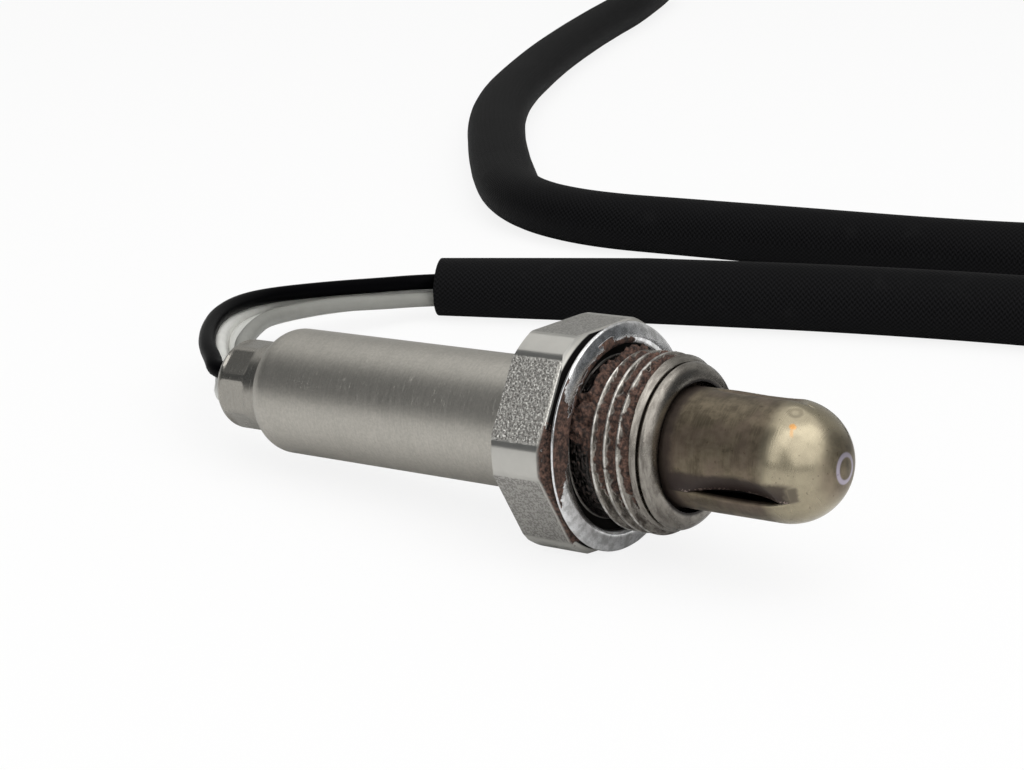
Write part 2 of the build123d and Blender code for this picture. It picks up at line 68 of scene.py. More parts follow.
class HousingSizes(bpy.types.PropertyGroup):
    """Sizes of the threaded hex housing, in millimetres"""
    across_flats: bpy.props.FloatProperty(name="Across flats", description="Hex size", default=22.0)
    across_corners: bpy.props.FloatProperty(name="Turned corners", description="Diameter of the lands",
                                            default=24.03)
    hex_length: bpy.props.FloatProperty(name="Hex length", description="Length of the hex", default=6.7)
    thread_diameter: bpy.props.FloatProperty(name="Thread", description="Crest diameter", default=18.0)
    thread_pitch: bpy.props.FloatProperty(name="Pitch", description="Distance between crests", default=1.5)
    thread_depth: bpy.props.FloatProperty(name="Thread depth", description="Crest to root", default=0.85)
    undercut_diameter: bpy.props.FloatProperty(name="Undercut", description="Groove behind the thread",
                                               default=16.2)
    paste: bpy.props.FloatProperty(name="Paste", description="How full of paste the thread is",
                                   default=1.0, min=0)


class TubeSizes(bpy.types.PropertyGroup):
    """Sizes of the tip tube and the rear sleeve, in millimetres"""
    tip_diameter: bpy.props.FloatProperty(name="Tip tube", description="Outside diameter", default=11.9)
    tip_wall: bpy.props.FloatProperty(name="Tip wall", description="Sheet thickness", default=0.5)
    louvre_length: bpy.props.FloatProperty(name="Louvre length", description="Chord of the press",
                                           default=11.2)
    louvre_depth: bpy.props.FloatProperty(name="Louvre depth", description="How far it is pressed in",
                                          default=1.2)
    sleeve_diameter: bpy.props.FloatProperty(name="Rear sleeve", description="Outside diameter", default=13.7)
    neck_diameter: bpy.props.FloatProperty(name="Neck", description="Outside diameter", default=9.9)
    crimp_flats: bpy.props.FloatProperty(name="Crimp", description="Across the crimp's flats", default=9.35)


class LeadSizes(bpy.types.PropertyGroup):
    """Sizes of the wires and the braided sleeve, in millimetres"""
    wire_diameter: bpy.props.FloatProperty(name="Wire", description="Outside diameter", default=2.0)
    sleeve_diameter: bpy.props.FloatProperty(name="Braided sleeve", description="Outside diameter",
                                             default=9.0)
    sleeve_bore: bpy.props.FloatProperty(name="Sleeve bore", description="Inside diameter", default=6.6)


class FinishColours(bpy.types.PropertyGroup):
    """Main colours of the visible finishes"""
    housing: bpy.props.FloatVectorProperty(name="Housing", description="Machined steel", subtype="COLOR",
                                           default=(0.50, 0.49, 0.46))
    tube: bpy.props.FloatVectorProperty(name="Rear sleeve", description="Satin stainless", subtype="COLOR",
                                        default=(0.46, 0.44, 0.40))
    tip: bpy.props.FloatVectorProperty(name="Tip tube", description="Heat-tinted steel", subtype="COLOR",
                                       default=(0.155, 0.128, 0.090))
    paste: bpy.props.FloatVectorProperty(name="Paste", description="Baked thread paste", subtype="COLOR",
                                         default=(0.085, 0.045, 0.032))
    braid: bpy.props.FloatVectorProperty(name="Braid", description="Black braided sleeve", subtype="COLOR",
                                         default=(0.0042, 0.0042, 0.0046))


# ---------------------------------------------------------------- shader expressions

class Signal:
    """A shader socket that can be used in Python arithmetic."""

    def __init__(self, finish, socket):
        self.finish = finish
        self.socket = socket

    def maths(self, operation, *values):
        return self.finish.maths(operation, *values)

    def __add__(self, other):
        return self.maths("ADD", self, other)

    __radd__ = __add__

    def __mul__(self, other):
        return self.maths("MULTIPLY", self, other)

    __rmul__ = __mul__

    def __sub__(self, other):
        return self.maths("SUBTRACT", self, other)

    def __rsub__(self, other):
        return self.maths("SUBTRACT", other, self)

    def __truediv__(self, other):
        return self.maths("DIVIDE", self, other)


class Finish:
    """A procedural material, built around one Principled BSDF."""

    def __init__(self, name, **fixed):
        self.material = bpy.data.materials.new(name)
        self.material.use_nodes = True
        self.tree = self.material.node_tree
        self.shader = next(n for n in self.tree.nodes if n.type == "BSDF_PRINCIPLED")
        for socket, value in fixed.items():
            self.shader.inputs[socket.replace("_", " ")].default_value = value

    def node(self, kind, settings=None, values=(), output=0):
        """Adds a node: its settings first, then the values or links of its sockets."""
        made = self.tree.nodes.new(kind)
        for key, value in (settings or {}).items():
            setattr(made, key, value)
        pairs = values.items() if isinstance(values, dict) else enumerate(values)
        for key, value in pairs:
            if isinstance(value, Signal):
                self.tree.links.new(value.socket, made.inputs[key])
            else:
                made.inputs[key].default_value = value
        return Signal(self, made.outputs[output])

    def maths(self, operation, *values):
        return self.node("ShaderNodeMath", {"operation": operation}, values)

    def feed(self, **signals):
        for socket, signal in signals.items():
            self.tree.links.new(signal.socket, self.shader.inputs[socket.replace("_", " ")])
        return self.material

    # places
    def place(self, tilt=0.0):
        """Object coordinates in millimetres, turned back by this tilt about Y."""
        raw = self.node("ShaderNodeTexCoord", output="Object")
        return self.node("ShaderNodeMapping", {}, {"Vector": raw, "Scale": (1 / MM, 1 / MM, 1 / MM),
                                                  "Rotation": (0.0, tilt, 0.0)})

    def sensor_place(self):
        """Object coordinates in millimetres, in the sensor's own frame: X along the axis."""
        return self.place(REST_TILT)

    def stretched(self, place, scale):
        return self.node("ShaderNodeMapping", {}, {"Vector": place, "Scale": scale})

    def split(self, place):
        return [self.node("ShaderNodeSeparateXYZ", {}, (place,), output=axis) for axis in range(3)]

    def full_turn(self, place):
        """Degrees about the sensor's axis, 0 to 360, from the side where the lead runs upwards."""
        _, y, z = self.split(place)
        return self.maths("WRAP", self.maths("ARCTAN2", z, y) * math.degrees(1), 360.0, 0.0)

    def distance(self, place, point):
        return self.node("ShaderNodeVectorMath", {"operation": "DISTANCE"}, (place, point), output="Value")

    def radius_about_axis(self, place):
        _, y, z = self.split(place)
        return self.maths("SQRT", y * y + z * z)

    # patterns
    def wave(self, value):
        """A smooth wave between 0 and 1, once for each unit of the value."""
        return self.maths("SINE", value * (2 * math.pi)) * 0.5 + 0.5

    def larger(self, first, second):
        return self.maths("MAXIMUM", first, second)

    def noise(self, place, scale, detail=3.0, rough=0.55):
        return self.node("ShaderNodeTexNoise", {}, {"Vector": place, "Scale": scale, "Detail": detail,
                                                   "Roughness": rough})

    def cells(self, place, scale):
        return self.node("ShaderNodeTexVoronoi", {}, {"Vector": place, "Scale": scale})

    def band(self, value, low, high):
        """0 below low, 1 above high; the other way round when low is the larger."""
        return self.node("ShaderNodeMapRange", {"interpolation_type": "SMOOTHSTEP"},
                         {"Value": value, "From Min": low, "From Max": high})

    def window(self, value, centre, half, soft):
        """1 within half of centre, falling to 0 over the soft width."""
        off = self.maths("ABSOLUTE", value - centre)
        return self.band(off, half + soft, half)

    def mix(self, factor, first, second):
        first = (*first, 1.0) if isinstance(first, tuple) else first
        second = (*second, 1.0) if isinstance(second, tuple) else second
        return self.node("ShaderNodeMix", {"data_type": "RGBA"}, {0: factor, 6: first, 7: second}, output=2)

    def blend(self, factor, first, second):
        return self.node("ShaderNodeMix", {"data_type": "FLOAT"}, {0: factor, 2: first, 3: second})

    def bump(self, height, strength, distance):
        return self.node("ShaderNodeBump", {}, {"Strength": strength, "Distance": distance, "Height": height})


def shade(colour, factor):
    """The colour made darker or lighter."""
    return tuple(min(c * factor, 1.0) for c in colour)


# ---------------------------------------------------------------- meshes

TURNED_COLUMNS = 192


def new_piece(name, mesh, finish, slot, *nodes):
    """An object at the origin that rides on the only body and stands for the named CAD nodes."""
    piece = bpy.data.objects.new(name, mesh)
    bpy.context.scene.collection.objects.link(piece)
    mesh.materials.append(finish)
    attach(piece, "root")
    if nodes:
        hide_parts(*nodes)
    return piece


def smooth_mesh(name, points, faces, sharp_angle=40.0):
    """A mesh in metres from points in millimetres, smooth but for its sharp edges."""
    mesh = bpy.data.meshes.new(name)
    mesh.from_pydata((np.asarray(points) * MM).tolist(), [], faces)
    mesh.validate()
    mesh.shade_smooth()
    mesh.set_sharp_from_angle(angle=math.radians(sharp_angle))
    return mesh


def grid_faces(rows, columns, rows_closed, columns_closed):
    """Quads of a grid whose rows run along +X and whose columns turn about it: they face outwards."""
    faces = []
    for row in range(rows if rows_closed else rows - 1):
        low, high = row * columns, ((row + 1) % rows) * columns
        for column in range(columns if columns_closed else columns - 1):
            after = (column + 1) % columns
            faces.append((low + column, low + after, high + after, high + column))
    return faces


def turned_points(stations, radii, angles):
    """Resting points, in millimetres, from arrays of station and radius for each row and angle."""
    points = np.stack([stations, radii * np.cos(angles), radii * np.sin(angles)], axis=-1)
    return points.reshape(-1, 3) @ TO_REST.T


def turned_section(section):
    """Stations, radii and angles of an outline of stations and radii, turned about the axis."""
    angles = np.radians(np.linspace(0, 360, TURNED_COLUMNS, endpoint=False))
    stations, radii = (np.repeat(section[:, i:i + 1], TURNED_COLUMNS, axis=1) for i in range(2))
    return stations, radii, angles


def clumps(stations, angles, radius, size, octaves=3, shift=0.0):
    """Seedless noise between about -1 and 1 on a cylinder, with lumps of this size in millimetres."""
    flat_x, flat_a = np.broadcast_arrays(stations, angles)
    places = [Vector((x / size + shift, radius * math.cos(a) / size, radius * math.sin(a) / size))
              for x, a in zip(flat_x.ravel(), flat_a.ravel())]
    values = [noise.fractal(place, 1.0, 2.0, octaves) for place in places]
    return np.array(values).reshape(flat_x.shape)


def soft_step(value, low, high):
    t = np.clip((value - low) / (high - low), 0.0, 1.0)
    return t * t * (3 - 2 * t)


def near_angle(angles, centre_deg, half_deg, soft_deg):
    """1 within half_deg of a direction about the axis, falling to 0 over soft_deg."""
    off = np.abs((np.degrees(angles) - centre_deg + 180) % 360 - 180)
    return 1 - soft_step(off, half_deg, half_deg + soft_deg)


def add_point_value(mesh, name, values):
    layer = mesh.attributes.new(name, "FLOAT", "POINT")
    layer.data.foreach_set("value", np.asarray(values, dtype=np.float32).ravel())


# ---------------------------------------------------------------- threaded housing

HEX_SIDES = 6
FLAT_STEPS = 40
LAND_STEPS = 10
FRONT_FACE_R = 10.8
FRONT_BEVEL = 0.75
REAR_BEVEL = 0.35
EDGE_BREAK = 0.06
SHANK_STEP = 0.06
LEAD_IN = (7.1, 8.1, 8.3)
CREST_AT = 4.9
NOSE = (8.35, 9.5, 6.45)
COLLAR_LENGTH = 5.5
COLLAR_R = 6.3
REAR_BORE_R = 5.7
CORE_BORE = (1.02, 4.75)
FLANGE_POCKET = (6.88, 7.52, 6.98)
# direction and half width, in degrees, of the one rough flat
ROUGH_FLAT = (150.0, 23.0)


def hex_columns(sizes):
    """Angles round the hex, with one on every edge between a flat and a land."""
    half_flat = math.degrees(math.acos(sizes.across_flats / sizes.across_corners))
    half_side = 180 / HEX_SIDES
    columns = []
    for side in range(HEX_SIDES):
        middle = (2 * side + 1) * half_side
        columns += list(np.linspace(middle - half_flat, middle + half_flat, FLAT_STEPS, endpoint=False))
        columns += list(np.linspace(middle + half_flat, middle + 2 * half_side - half_flat, LAND_STEPS,
                                    endpoint=False))
    return np.radians(columns)


def thread_radius(stations, angles, sizes):
    """Radius of the thread's surface: rounded crests on a right-hand helix."""
    turn = (stations - CREST_AT) / sizes.thread_pitch - (angles - math.pi) / (2 * math.pi)
    off = np.abs(turn - np.round(turn)) * 2
    depth = sizes.thread_depth * soft_step(off, 0.06, 0.86)
    return sizes.thread_diameter / 2 - depth


def shank_limit(stations, sizes):
    """Radius of the turned blank: undercut, run-up, crests and lead-in."""
    start, end, end_r = LEAD_IN
    crest_r, root_r = sizes.thread_diameter / 2, sizes.undercut_diameter / 2
    return np.interp(stations, [0.0, 2.4, 3.2, start, end], [root_r, root_r, crest_r, crest_r, end_r])


def paste_radius(stations, angles, sizes):
    """Radius that the baked paste reaches over the shank: thick on the front and top, thin below."""
    lumps = clumps(stations, angles, 8.6, 1.0, 5)
    grains = clumps(stations, angles, 8.6, 0.22, 2, 7.0)
    in_thread = soft_step(stations, 2.3, 3.0) * (1 - soft_step(stations, 7.0, 7.9))
    low_side = near_angle(angles, 262, 42, 40)
    level = 8.66 + 0.42 * lumps + 0.10 * grains - 0.62 * low_side
    wandering = angles + math.radians(9) * lumps
    upper = near_angle(wandering, 112, 34, 14) * soft_step(stations, 0.9, 2.1)
    bridge = near_angle(wandering, 156, 9, 7) + upper
    on_undercut = 8.0 + 1.25 * np.clip(bridge, 0, 1) * (0.8 + 0.7 * lumps) + 0.12 * grains
    amount = in_thread * level + (1 - in_thread) * np.where(stations < 4, on_undercut, 7.9 + 0.4 * lumps)
    return 8.0 + (amount - 8.0) * sizes.paste


def housing_rows(sizes):
    """Stations, radii and paste cover of the housing, from its rear bore round to its rear bore again."""
    angles = hex_columns(sizes)
    from_flat = (np.degrees(angles) % (360 / HEX_SIDES)) - 180 / HEX_SIDES
    corner_r = sizes.across_corners / 2
    side_r = np.minimum(sizes.across_flats / 2 / np.cos(np.radians(from_flat)), corner_r)
    rear = -sizes.hex_length
    rear_cap = np.minimum(side_r, corner_r - REAR_BEVEL)
    slope = (corner_r - FRONT_FACE_R) / FRONT_BEVEL
    bevel_x = -(side_r - FRONT_FACE_R) / slope
    collar_x = rear - COLLAR_LENGTH
    rows = [(collar_x, REAR_BORE_R, 0), (collar_x, COLLAR_R, 0), (rear, COLLAR_R, 0),
            (rear, rear_cap - EDGE_BREAK, 0), (rear + np.maximum(side_r - rear_cap, EDGE_BREAK), side_r, 0)]
    side_start = rear + REAR_BEVEL + EDGE_BREAK
    rows += [(side_start + (bevel_x - side_start) * t, side_r, 0) for t in np.linspace(0, 1, 9)]
    rows += [(bevel_x * (1 - t), side_r + (FRONT_FACE_R - side_r) * t, 0) for t in (0.35, 0.7, 1.0)]
    rows += [(0.0, 9.6, 0), (0.0, 8.5, 0), (0.06, 8.2, 0)]
    for x in np.arange(0.15, LEAD_IN[1], SHANK_STEP):
        stations = np.full_like(angles, x)
        metal = np.minimum(thread_radius(stations, angles, sizes), shank_limit(stations, sizes))
        paste = paste_radius(stations, angles, sizes)
        rows.append((x, np.maximum(metal, paste), soft_step(paste - metal, -0.10, 0.02)))
    nose_x, nose_end, nose_r = NOSE
    rows += [(LEAD_IN[1], 8.25, 0), (LEAD_IN[1] + 0.03, 7.85, 0), (nose_x - 0.05, 7.85, 0), (nose_x, 8.2, 0)]
    for t in np.radians(np.linspace(8, 90, 12)):
        rows.append((nose_x + (nose_end - nose_x) * math.sin(t), nose_r + (8.3 - nose_r) * math.cos(t), 0))
    pocket_rear, pocket_front, pocket_r = FLANGE_POCKET
    core_x, core_r = CORE_BORE
    rows += [(nose_end - 0.05, nose_r - 0.02, 0), (pocket_front, nose_r - 0.02, 0),
             (pocket_front, pocket_r, 0), (pocket_rear, pocket_r, 0), (pocket_rear, core_r, 0),
             (core_x, core_r, 0), (core_x, REAR_BORE_R, 0)]
    shape = (len(rows), len(angles))
    stations, radii, paste = (np.stack([np.broadcast_to(row[i], shape[1]) for row in rows]) for i in range(3))
    return stations, radii, paste, angles


def housing_finish(colours):
    make = Finish("machined steel with paste")
    place = make.sensor_place()
    x, _, _ = make.split(place)
    angle = make.full_turn(place)
    radius = make.radius_about_axis(place)
    steel = tuple(colours.housing)
    grain = make.noise(place, 7.0, 4.0, 0.7)
    pits = make.cells(place, 3.4)
    painted_glints = make.band(make.noise(place, 6.5, 2.0, 0.6), 0.50, 0.64)
    cloud = make.noise(place, 0.5, 4.0)
    on_hex = make.band(x, -0.55, -0.80)
    land = make.band(radius, 11.70, 11.86)
    rough_flat = make.window(angle, *ROUGH_FLAT, 0.8) * on_hex * (1.0 - land)
    flats = on_hex * (1.0 - land)
    colour = make.mix(cloud, shade(steel, 0.88), shade(steel, 1.12))
    colour = make.mix(flats * 0.55, colour, (0.36, 0.35, 0.33))
    # bright flecks on the rough flat are painted glints of its grain
    colour = make.mix(rough_flat * painted_glints * 0.9, colour, (0.90, 0.89, 0.84))
    # the pits on the rough flat are darkened with painted shade, on top of their bump
    colour = make.mix(rough_flat * make.band(pits, 0.50, 0.25) * 0.45, colour, (0.10, 0.10, 0.095))
    speckle = make.band(make.noise(place, 4.2, 2.0, 0.6), 0.44, 0.56)
    colour = make.mix(flats * speckle * 0.6, colour, (0.13, 0.12, 0.11))
    # the front chamfer is lighter all round: a brighter turned finish and partly a painted highlight
    chamfer_and_highlight = make.window(x, -0.7, 0.32, 0.08) * (1.0 - land)
    colour = make.mix(chamfer_and_highlight * 0.6, colour, (0.70, 0.68, 0.63))
    # the shank is darker and dirtier, but for its rubbed crests and the rolled nose
    shank = make.band(x, 0.02, 0.10)
    nose = make.band(x, 7.2, 7.6)
    streaks = make.noise(make.stretched(place, (2.2, 0.4, 0.4)), 1.5, 5.0, 0.7)
    smut = make.band(streaks, 0.36, 0.66) * (1.0 - nose * 0.45)
    colour = make.mix(shank, colour, make.mix(smut, (0.30, 0.28, 0.25), (0.060, 0.050, 0.043)))
    rubbed = make.band(make.noise(place, 0.9, 3.0), 0.42, 0.60) * 0.6 + 0.25
    crest = make.band(radius, 8.90, 8.97) * make.window(x, 5.0, 2.3, 0.3)
    colour = make.mix(crest * rubbed, colour, (0.66, 0.64, 0.60))
    # dark paint in the undercut and inside the nose stands for soot and painted shade
    undercut = make.window(x, 1.35, 1.15, 0.25)
    colour = make.mix(undercut * 0.9, colour, (0.050, 0.047, 0.046))
    # the black ring in the corner by the gasket is painted shade
    corner_shade = make.band(x, -0.46, -0.36) * make.band(x, 0.06, 0.03)
    colour = make.mix(corner_shade, colour, (0.012, 0.011, 0.011))
    bore = make.band(radius, 6.9, 6.55) * make.band(x, 7.0, 8.0)
    colour = make.mix(bore, colour, (0.02, 0.017, 0.016))
    # paste
    ragged = make.noise(place, 1.1, 6.0, 0.72) - 0.5
    on_bevel = make.band(x, -1.0, -0.6) * make.band(x, 0.0, -0.04)
    low_bevel = make.band(make.window(angle, 198.0, 26.0, 20.0) + ragged * 2.4, 0.55, 0.70) * on_bevel
    attribute = make.node("ShaderNodeAttribute", {"attribute_name": "paste"}, output="Fac")
    paste = make.larger(attribute, low_bevel)
    colour = make.mix(paste, colour, paste_colour(make, place, colours))
    rough = make.blend(rough_flat, 0.26 + cloud * 0.12, 0.36 + grain * 0.2)
    rough = make.blend(shank, rough, 0.20 + smut * 0.2)
    rough = make.blend(make.larger(paste, corner_shade), rough, 0.8)
    height = pits * rough_flat * 1.5 + grain * (0.12 + flats * 0.8)
    height = make.blend(paste, height, make.noise(place, 2.6, 6.0, 0.75) * 2.2)
    return make.feed(Base_Color=colour, Roughness=rough, Metallic=1.0 - paste,
                     Normal=make.bump(height, 0.75, 0.12 * MM))


class BuildHousing(bpy.types.Operator):
    """Builds the hex housing with its thread, undercut, rolled nose and the paste in its thread"""
    bl_idname = "sensor.build_housing"
    bl_label = "Threaded housing"

    def execute(self, context):
        sizes, colours = context.scene.housing_sizes, context.scene.finish_colours
        stations, radii, paste, angles = housing_rows(sizes)
        faces = grid_faces(*stations.shape, True, True)
        mesh = smooth_mesh("threaded_housing", turned_points(stations, radii, angles), faces, 32.0)
        add_point_value(mesh, "paste", paste)
        new_piece("threaded_housing", mesh, housing_finish(colours), "housing_steel", "hex_housing")
        return {"FINISHED"}


# ---------------------------------------------------------------- gasket

GASKET_SECTION = [(0.02, 8.45), (0.02, 9.85), (0.30, 11.30), (0.38, 11.42), (0.50, 11.49), (0.62, 11.49),
                  (0.74, 11.42), (0.80, 11.32), (0.98, 10.86), (1.12, 10.40), (1.19, 10.05), (1.19, 9.80),
                  (1.12, 9.55), (0.98, 9.40), (0.60, 9.33), (0.26, 9.30), (0.24, 8.45)]


def paste_colour(make, place, colours):
    """Baked reddish-brown paste with darker hollows."""
    rust = make.noise(place, 2.2, 6.0, 0.72)
    return make.mix(make.band(rust, 0.38, 0.68), shade(colours.paste, 0.16),
                    shade(colours.paste, 1.9))


def gasket_finish(colours):
    make = Finish("bright gasket steel")
    place = make.sensor_place()
    angle = make.full_turn(place)
    x, _, _ = make.split(place)
    radius = make.radius_about_axis(place)
    ragged = make.noise(place, 0.9, 6.0, 0.72) - 0.5
    fine = make.noise(place, 6.0, 3.0)
    wider_outside = (radius - 9.85) * 0.52 + 0.55
    side = make.window((angle - 170.0) / wider_outside + ragged * 34.0, 0.0, 20.0, 6.0)
    top = make.window(angle + ragged * 20.0, 103.0, 4.0, 4.0) * make.band(radius, 10.9, 10.4)
    inner = make.band(radius + ragged * 1.4, 10.3, 9.8)
    inner = inner * make.band(angle, 60.0, 90.0) * make.band(angle, 188.0, 176.0)
    front = make.band(x, 0.66, 0.74)
    cover = make.larger(make.larger(side, top), inner)
    paste = make.band(cover, 0.50, 0.62) * front
    streaks = make.noise(make.stretched(place, (1.0, 0.4, 0.4)), 2.4, 5.0, 0.7)
    steel = make.mix(make.band(streaks, 0.38, 0.62), (0.56, 0.56, 0.56), (0.90, 0.90, 0.91))
    # dark paint on the rear half stands for the shade in the gap
    behind = make.band(x, 0.50, 0.38)
    steel = make.mix(behind, steel, (0.012, 0.011, 0.010))
    height = make.noise(place, 3.0, 6.0, 0.75) * paste + fine * 0.04
    colour = make.mix(paste, steel, paste_colour(make, place, colours))
    return make.feed(Base_Color=colour, Metallic=1.0 - paste,
                     Roughness=make.blend(make.larger(paste, behind), 0.15 + fine * 0.1, 0.8),
                     Normal=make.bump(height, 0.9, 0.25 * MM))


class BuildGasket(bpy.types.Operator):
    """Builds the folded crush gasket"""
    bl_idname = "sensor.build_gasket"
    bl_label = "Gasket"

    def execute(self, context):
        stations, radii, angles = turned_section(np.array(GASKET_SECTION))
        faces = grid_faces(*stations.shape, True, True)
        mesh = smooth_mesh("crush_gasket", turned_points(stations, radii, angles), faces, 50.0)
        finish = gasket_finish(context.scene.finish_colours)
        new_piece("crush_gasket", mesh, finish, "gasket_steel", "gasket_ring")
        return {"FINISHED"}


# ---------------------------------------------------------------- tip tube

LOUVRES = 3
FIRST_SLIT = 208.5
LOUVRE_X = 17.3
PRESSED_ARC = 30.0
PRESS_LEAN = 12.0
PRESS_ROUND = 0.05
LIP_BOW = 3.4
LIP_BOW_ARC = 26.0
TIP_ROOT = 7.5
TIP_FLANGE_R = 6.9
DOME_X = 20.3
POLE_R = 0.12
# station, direction, size and depth
DENT = (22.0, 109.0, 0.6, 0.12)
DENT_MARK = (22.0, -1.85, 5.35)
ORANGE_SPOT = (22.56, -3.26, 4.39)


def tip_rows(sizes):
    """Stations and radii of the tube's outside before its louvres are pressed."""
    r = sizes.tip_diameter / 2
    rows = [(TIP_ROOT, TIP_FLANGE_R), (TIP_ROOT, r + 0.25), (TIP_ROOT + 0.07, r + 0.07), (TIP_ROOT + 0.25, r)]
    rows += [(x, r) for x in np.arange(TIP_ROOT + 0.75, LOUVRE_X - sizes.louvre_length / 2 - 0.2, 0.5)]
    rows += [(x, r) for x in np.arange(LOUVRE_X - sizes.louvre_length / 2 - 0.1, DOME_X, 0.2)]
    last = math.acos(POLE_R / r)
    rows += [(DOME_X + r * math.sin(t), r * math.cos(t)) for t in np.linspace(0, last, 44)]
    return np.array(rows)


def tip_columns():
    """Angles of one sector, from a slit's plain lip round to the next slit's pressed wall."""
    sector = 360 / LOUVRES
    plain = np.linspace(0, sector - PRESSED_ARC, 32, endpoint=False)
    pressed = np.linspace(sector - PRESSED_ARC, sector, 27)
    return np.concatenate([plain, pressed])


def pressed_radii(rows, columns, sizes):
    """The tube's radii with the wheel's flat pressed in beside the sector's last column."""
    r = sizes.tip_diameter / 2
    wheel = (sizes.louvre_length ** 2 / 4 + sizes.louvre_depth ** 2) / (2 * sizes.louvre_depth)
    along = np.clip(rows[:, :1] - LOUVRE_X, -wheel, wheel)
    flat = r - sizes.louvre_depth + wheel - np.sqrt(wheel ** 2 - along ** 2)
    before_slit = np.radians(360 / LOUVRES - columns)
    lean = math.radians(PRESS_LEAN)
    chord = flat * math.cos(lean) / np.cos(np.minimum(before_slit + lean, math.radians(60)))
    near = columns > 360 / LOUVRES - PRESSED_ARC - 1
    full = np.repeat(rows[:, 1:], len(columns), axis=1)
    both = (full + chord) / 2 - np.sqrt(((full - chord) / 2) ** 2 + PRESS_ROUND ** 2) + PRESS_ROUND
    pressed = near & (np.abs(rows[:, :1] - LOUVRE_X) < sizes.louvre_length / 2)
    return np.where(pressed, np.minimum(full, both), full)


def bowed(stations, columns, sizes):
    """Degrees by which the plain lip sags from a straight slit, most at its middle."""
    along = np.clip(1 - ((stations - LOUVRE_X) / (sizes.louvre_length / 2)) ** 2, 0, 1)
    return LIP_BOW * along * (1 - soft_step(columns[None, :], 0, LIP_BOW_ARC))


def dented(stations, radii, angles):
    x, angle_deg, size, depth = DENT
    across = np.radians((np.degrees(angles) - angle_deg + 180) % 360 - 180) * radii
    return radii - depth * np.exp(-((stations - x) ** 2 + across ** 2) / size ** 2)


def tip_finish(colours):
    make = Finish("heat-tinted tip steel")
    place = make.sensor_place()
    x, _, _ = make.split(place)
    angle = make.full_turn(place)
    radius = make.radius_about_axis(place)
    tint = tuple(colours.tip)
    hoops = make.noise(make.stretched(place, (3.0, 0.25, 0.25)), 2.2, 5.0, 0.65)
    blotches = make.noise(place, 0.8, 4.0, 0.6)
    cloud = make.noise(place, 0.25, 2.0)
    colour = make.mix(make.band(blotches, 0.35, 0.68), shade(tint, 0.66), shade(tint, 1.25))
    colour = make.mix(make.band(hoops, 0.45, 0.75) * 0.4, colour, shade(tint, 1.7))
    colour = make.mix(make.band(cloud, 0.45, 0.65) * 0.45, colour, (0.20, 0.15, 0.12))
    polished = make.band(x, 19.6, 21.6) * make.band(x, 26.4, 24.6)
    colour = make.mix(polished * (0.55 + blotches * 0.5), colour, (0.42, 0.37, 0.265))
    across = x - (angle - 142.0) * 0.027
    wavering = (blotches - 0.5) * 0.7
    # an orange spot with a tail, the dent's ring and a faint ring on the apex
    orange = make.distance(place, ORANGE_SPOT) + (hoops - 0.5) * 0.3
    tail = make.window(across + wavering * 0.2, 22.95, 0.05, 0.2) * make.window(angle, 132.0, 3.0, 5.0)
    spot = make.larger(make.band(orange, 0.42, 0.18), tail * 0.5)
    colour = make.mix(spot * 0.7, colour, (0.62, 0.27, 0.05))
    off_dent = make.distance(place, DENT_MARK) + wavering * 0.8
    colour = make.mix(make.window(off_dent, 0.55, 0.06, 0.3) * 0.3, colour, (0.06, 0.045, 0.03))
    ring = make.window(radius, 1.3, 0.12, 0.2) * make.band(x, 25.0, 25.5)
    colour = make.mix(ring * 0.75, colour, (0.50, 0.46, 0.56))
    # brown stain on the pressed wall beside the first slit, round its ends and at the root
    ragged = (make.noise(place, 1.3, 5.0, 0.7) - 0.5) * 9.0
    above = make.band(angle + ragged * 0.7, 184.0, 190.0) * make.band(angle, 209.4, 208.4)
    above = above * (make.band(angle, 188.0, 203.0) * 0.12 + 0.88)
    length = make.band(x + ragged * 0.10, 9.4, 9.9) * make.band(x + ragged * 0.14, 24.0, 22.2)
    beyond = make.window(x + ragged * 0.06, 23.3, 0.25, 0.35) * make.window(angle, 200.0, 7.0, 5.0) * 0.7
    root = make.band(x + ragged * 0.10, 11.1, 10.0)
    above = make.larger(above * length, beyond)
    stain = make.larger(above * 0.96, root * 0.8)
    colour = make.mix(stain, colour, (0.030, 0.019, 0.017))
    flecks = make.band(make.noise(place, 4.5, 2.0, 0.5), 0.54, 0.60)
    burr = make.window(angle, 206.6, 1.3, 0.6) * make.window(x, 17.0, 5.6, 0.6)
    colour = make.mix(flecks * burr * 0.6, colour, (0.40, 0.31, 0.27))
    specks = make.band(make.noise(place, 2.6, 1.0, 0.5), 0.72, 0.75)
    colour = make.mix(specks * 0.4, colour, (0.05, 0.03, 0.02))
    rough = make.blend(polished, 0.40 + hoops * 0.16, 0.20 + hoops * 0.12)
    height = hoops * 0.5 + make.noise(place, 3.0, 4.0) * stain
    return make.feed(Base_Color=colour, Roughness=make.blend(stain, rough, 0.5), Metallic=1.0 - stain * 0.5,
                     Normal=make.bump(height, 0.35, 0.05 * MM))


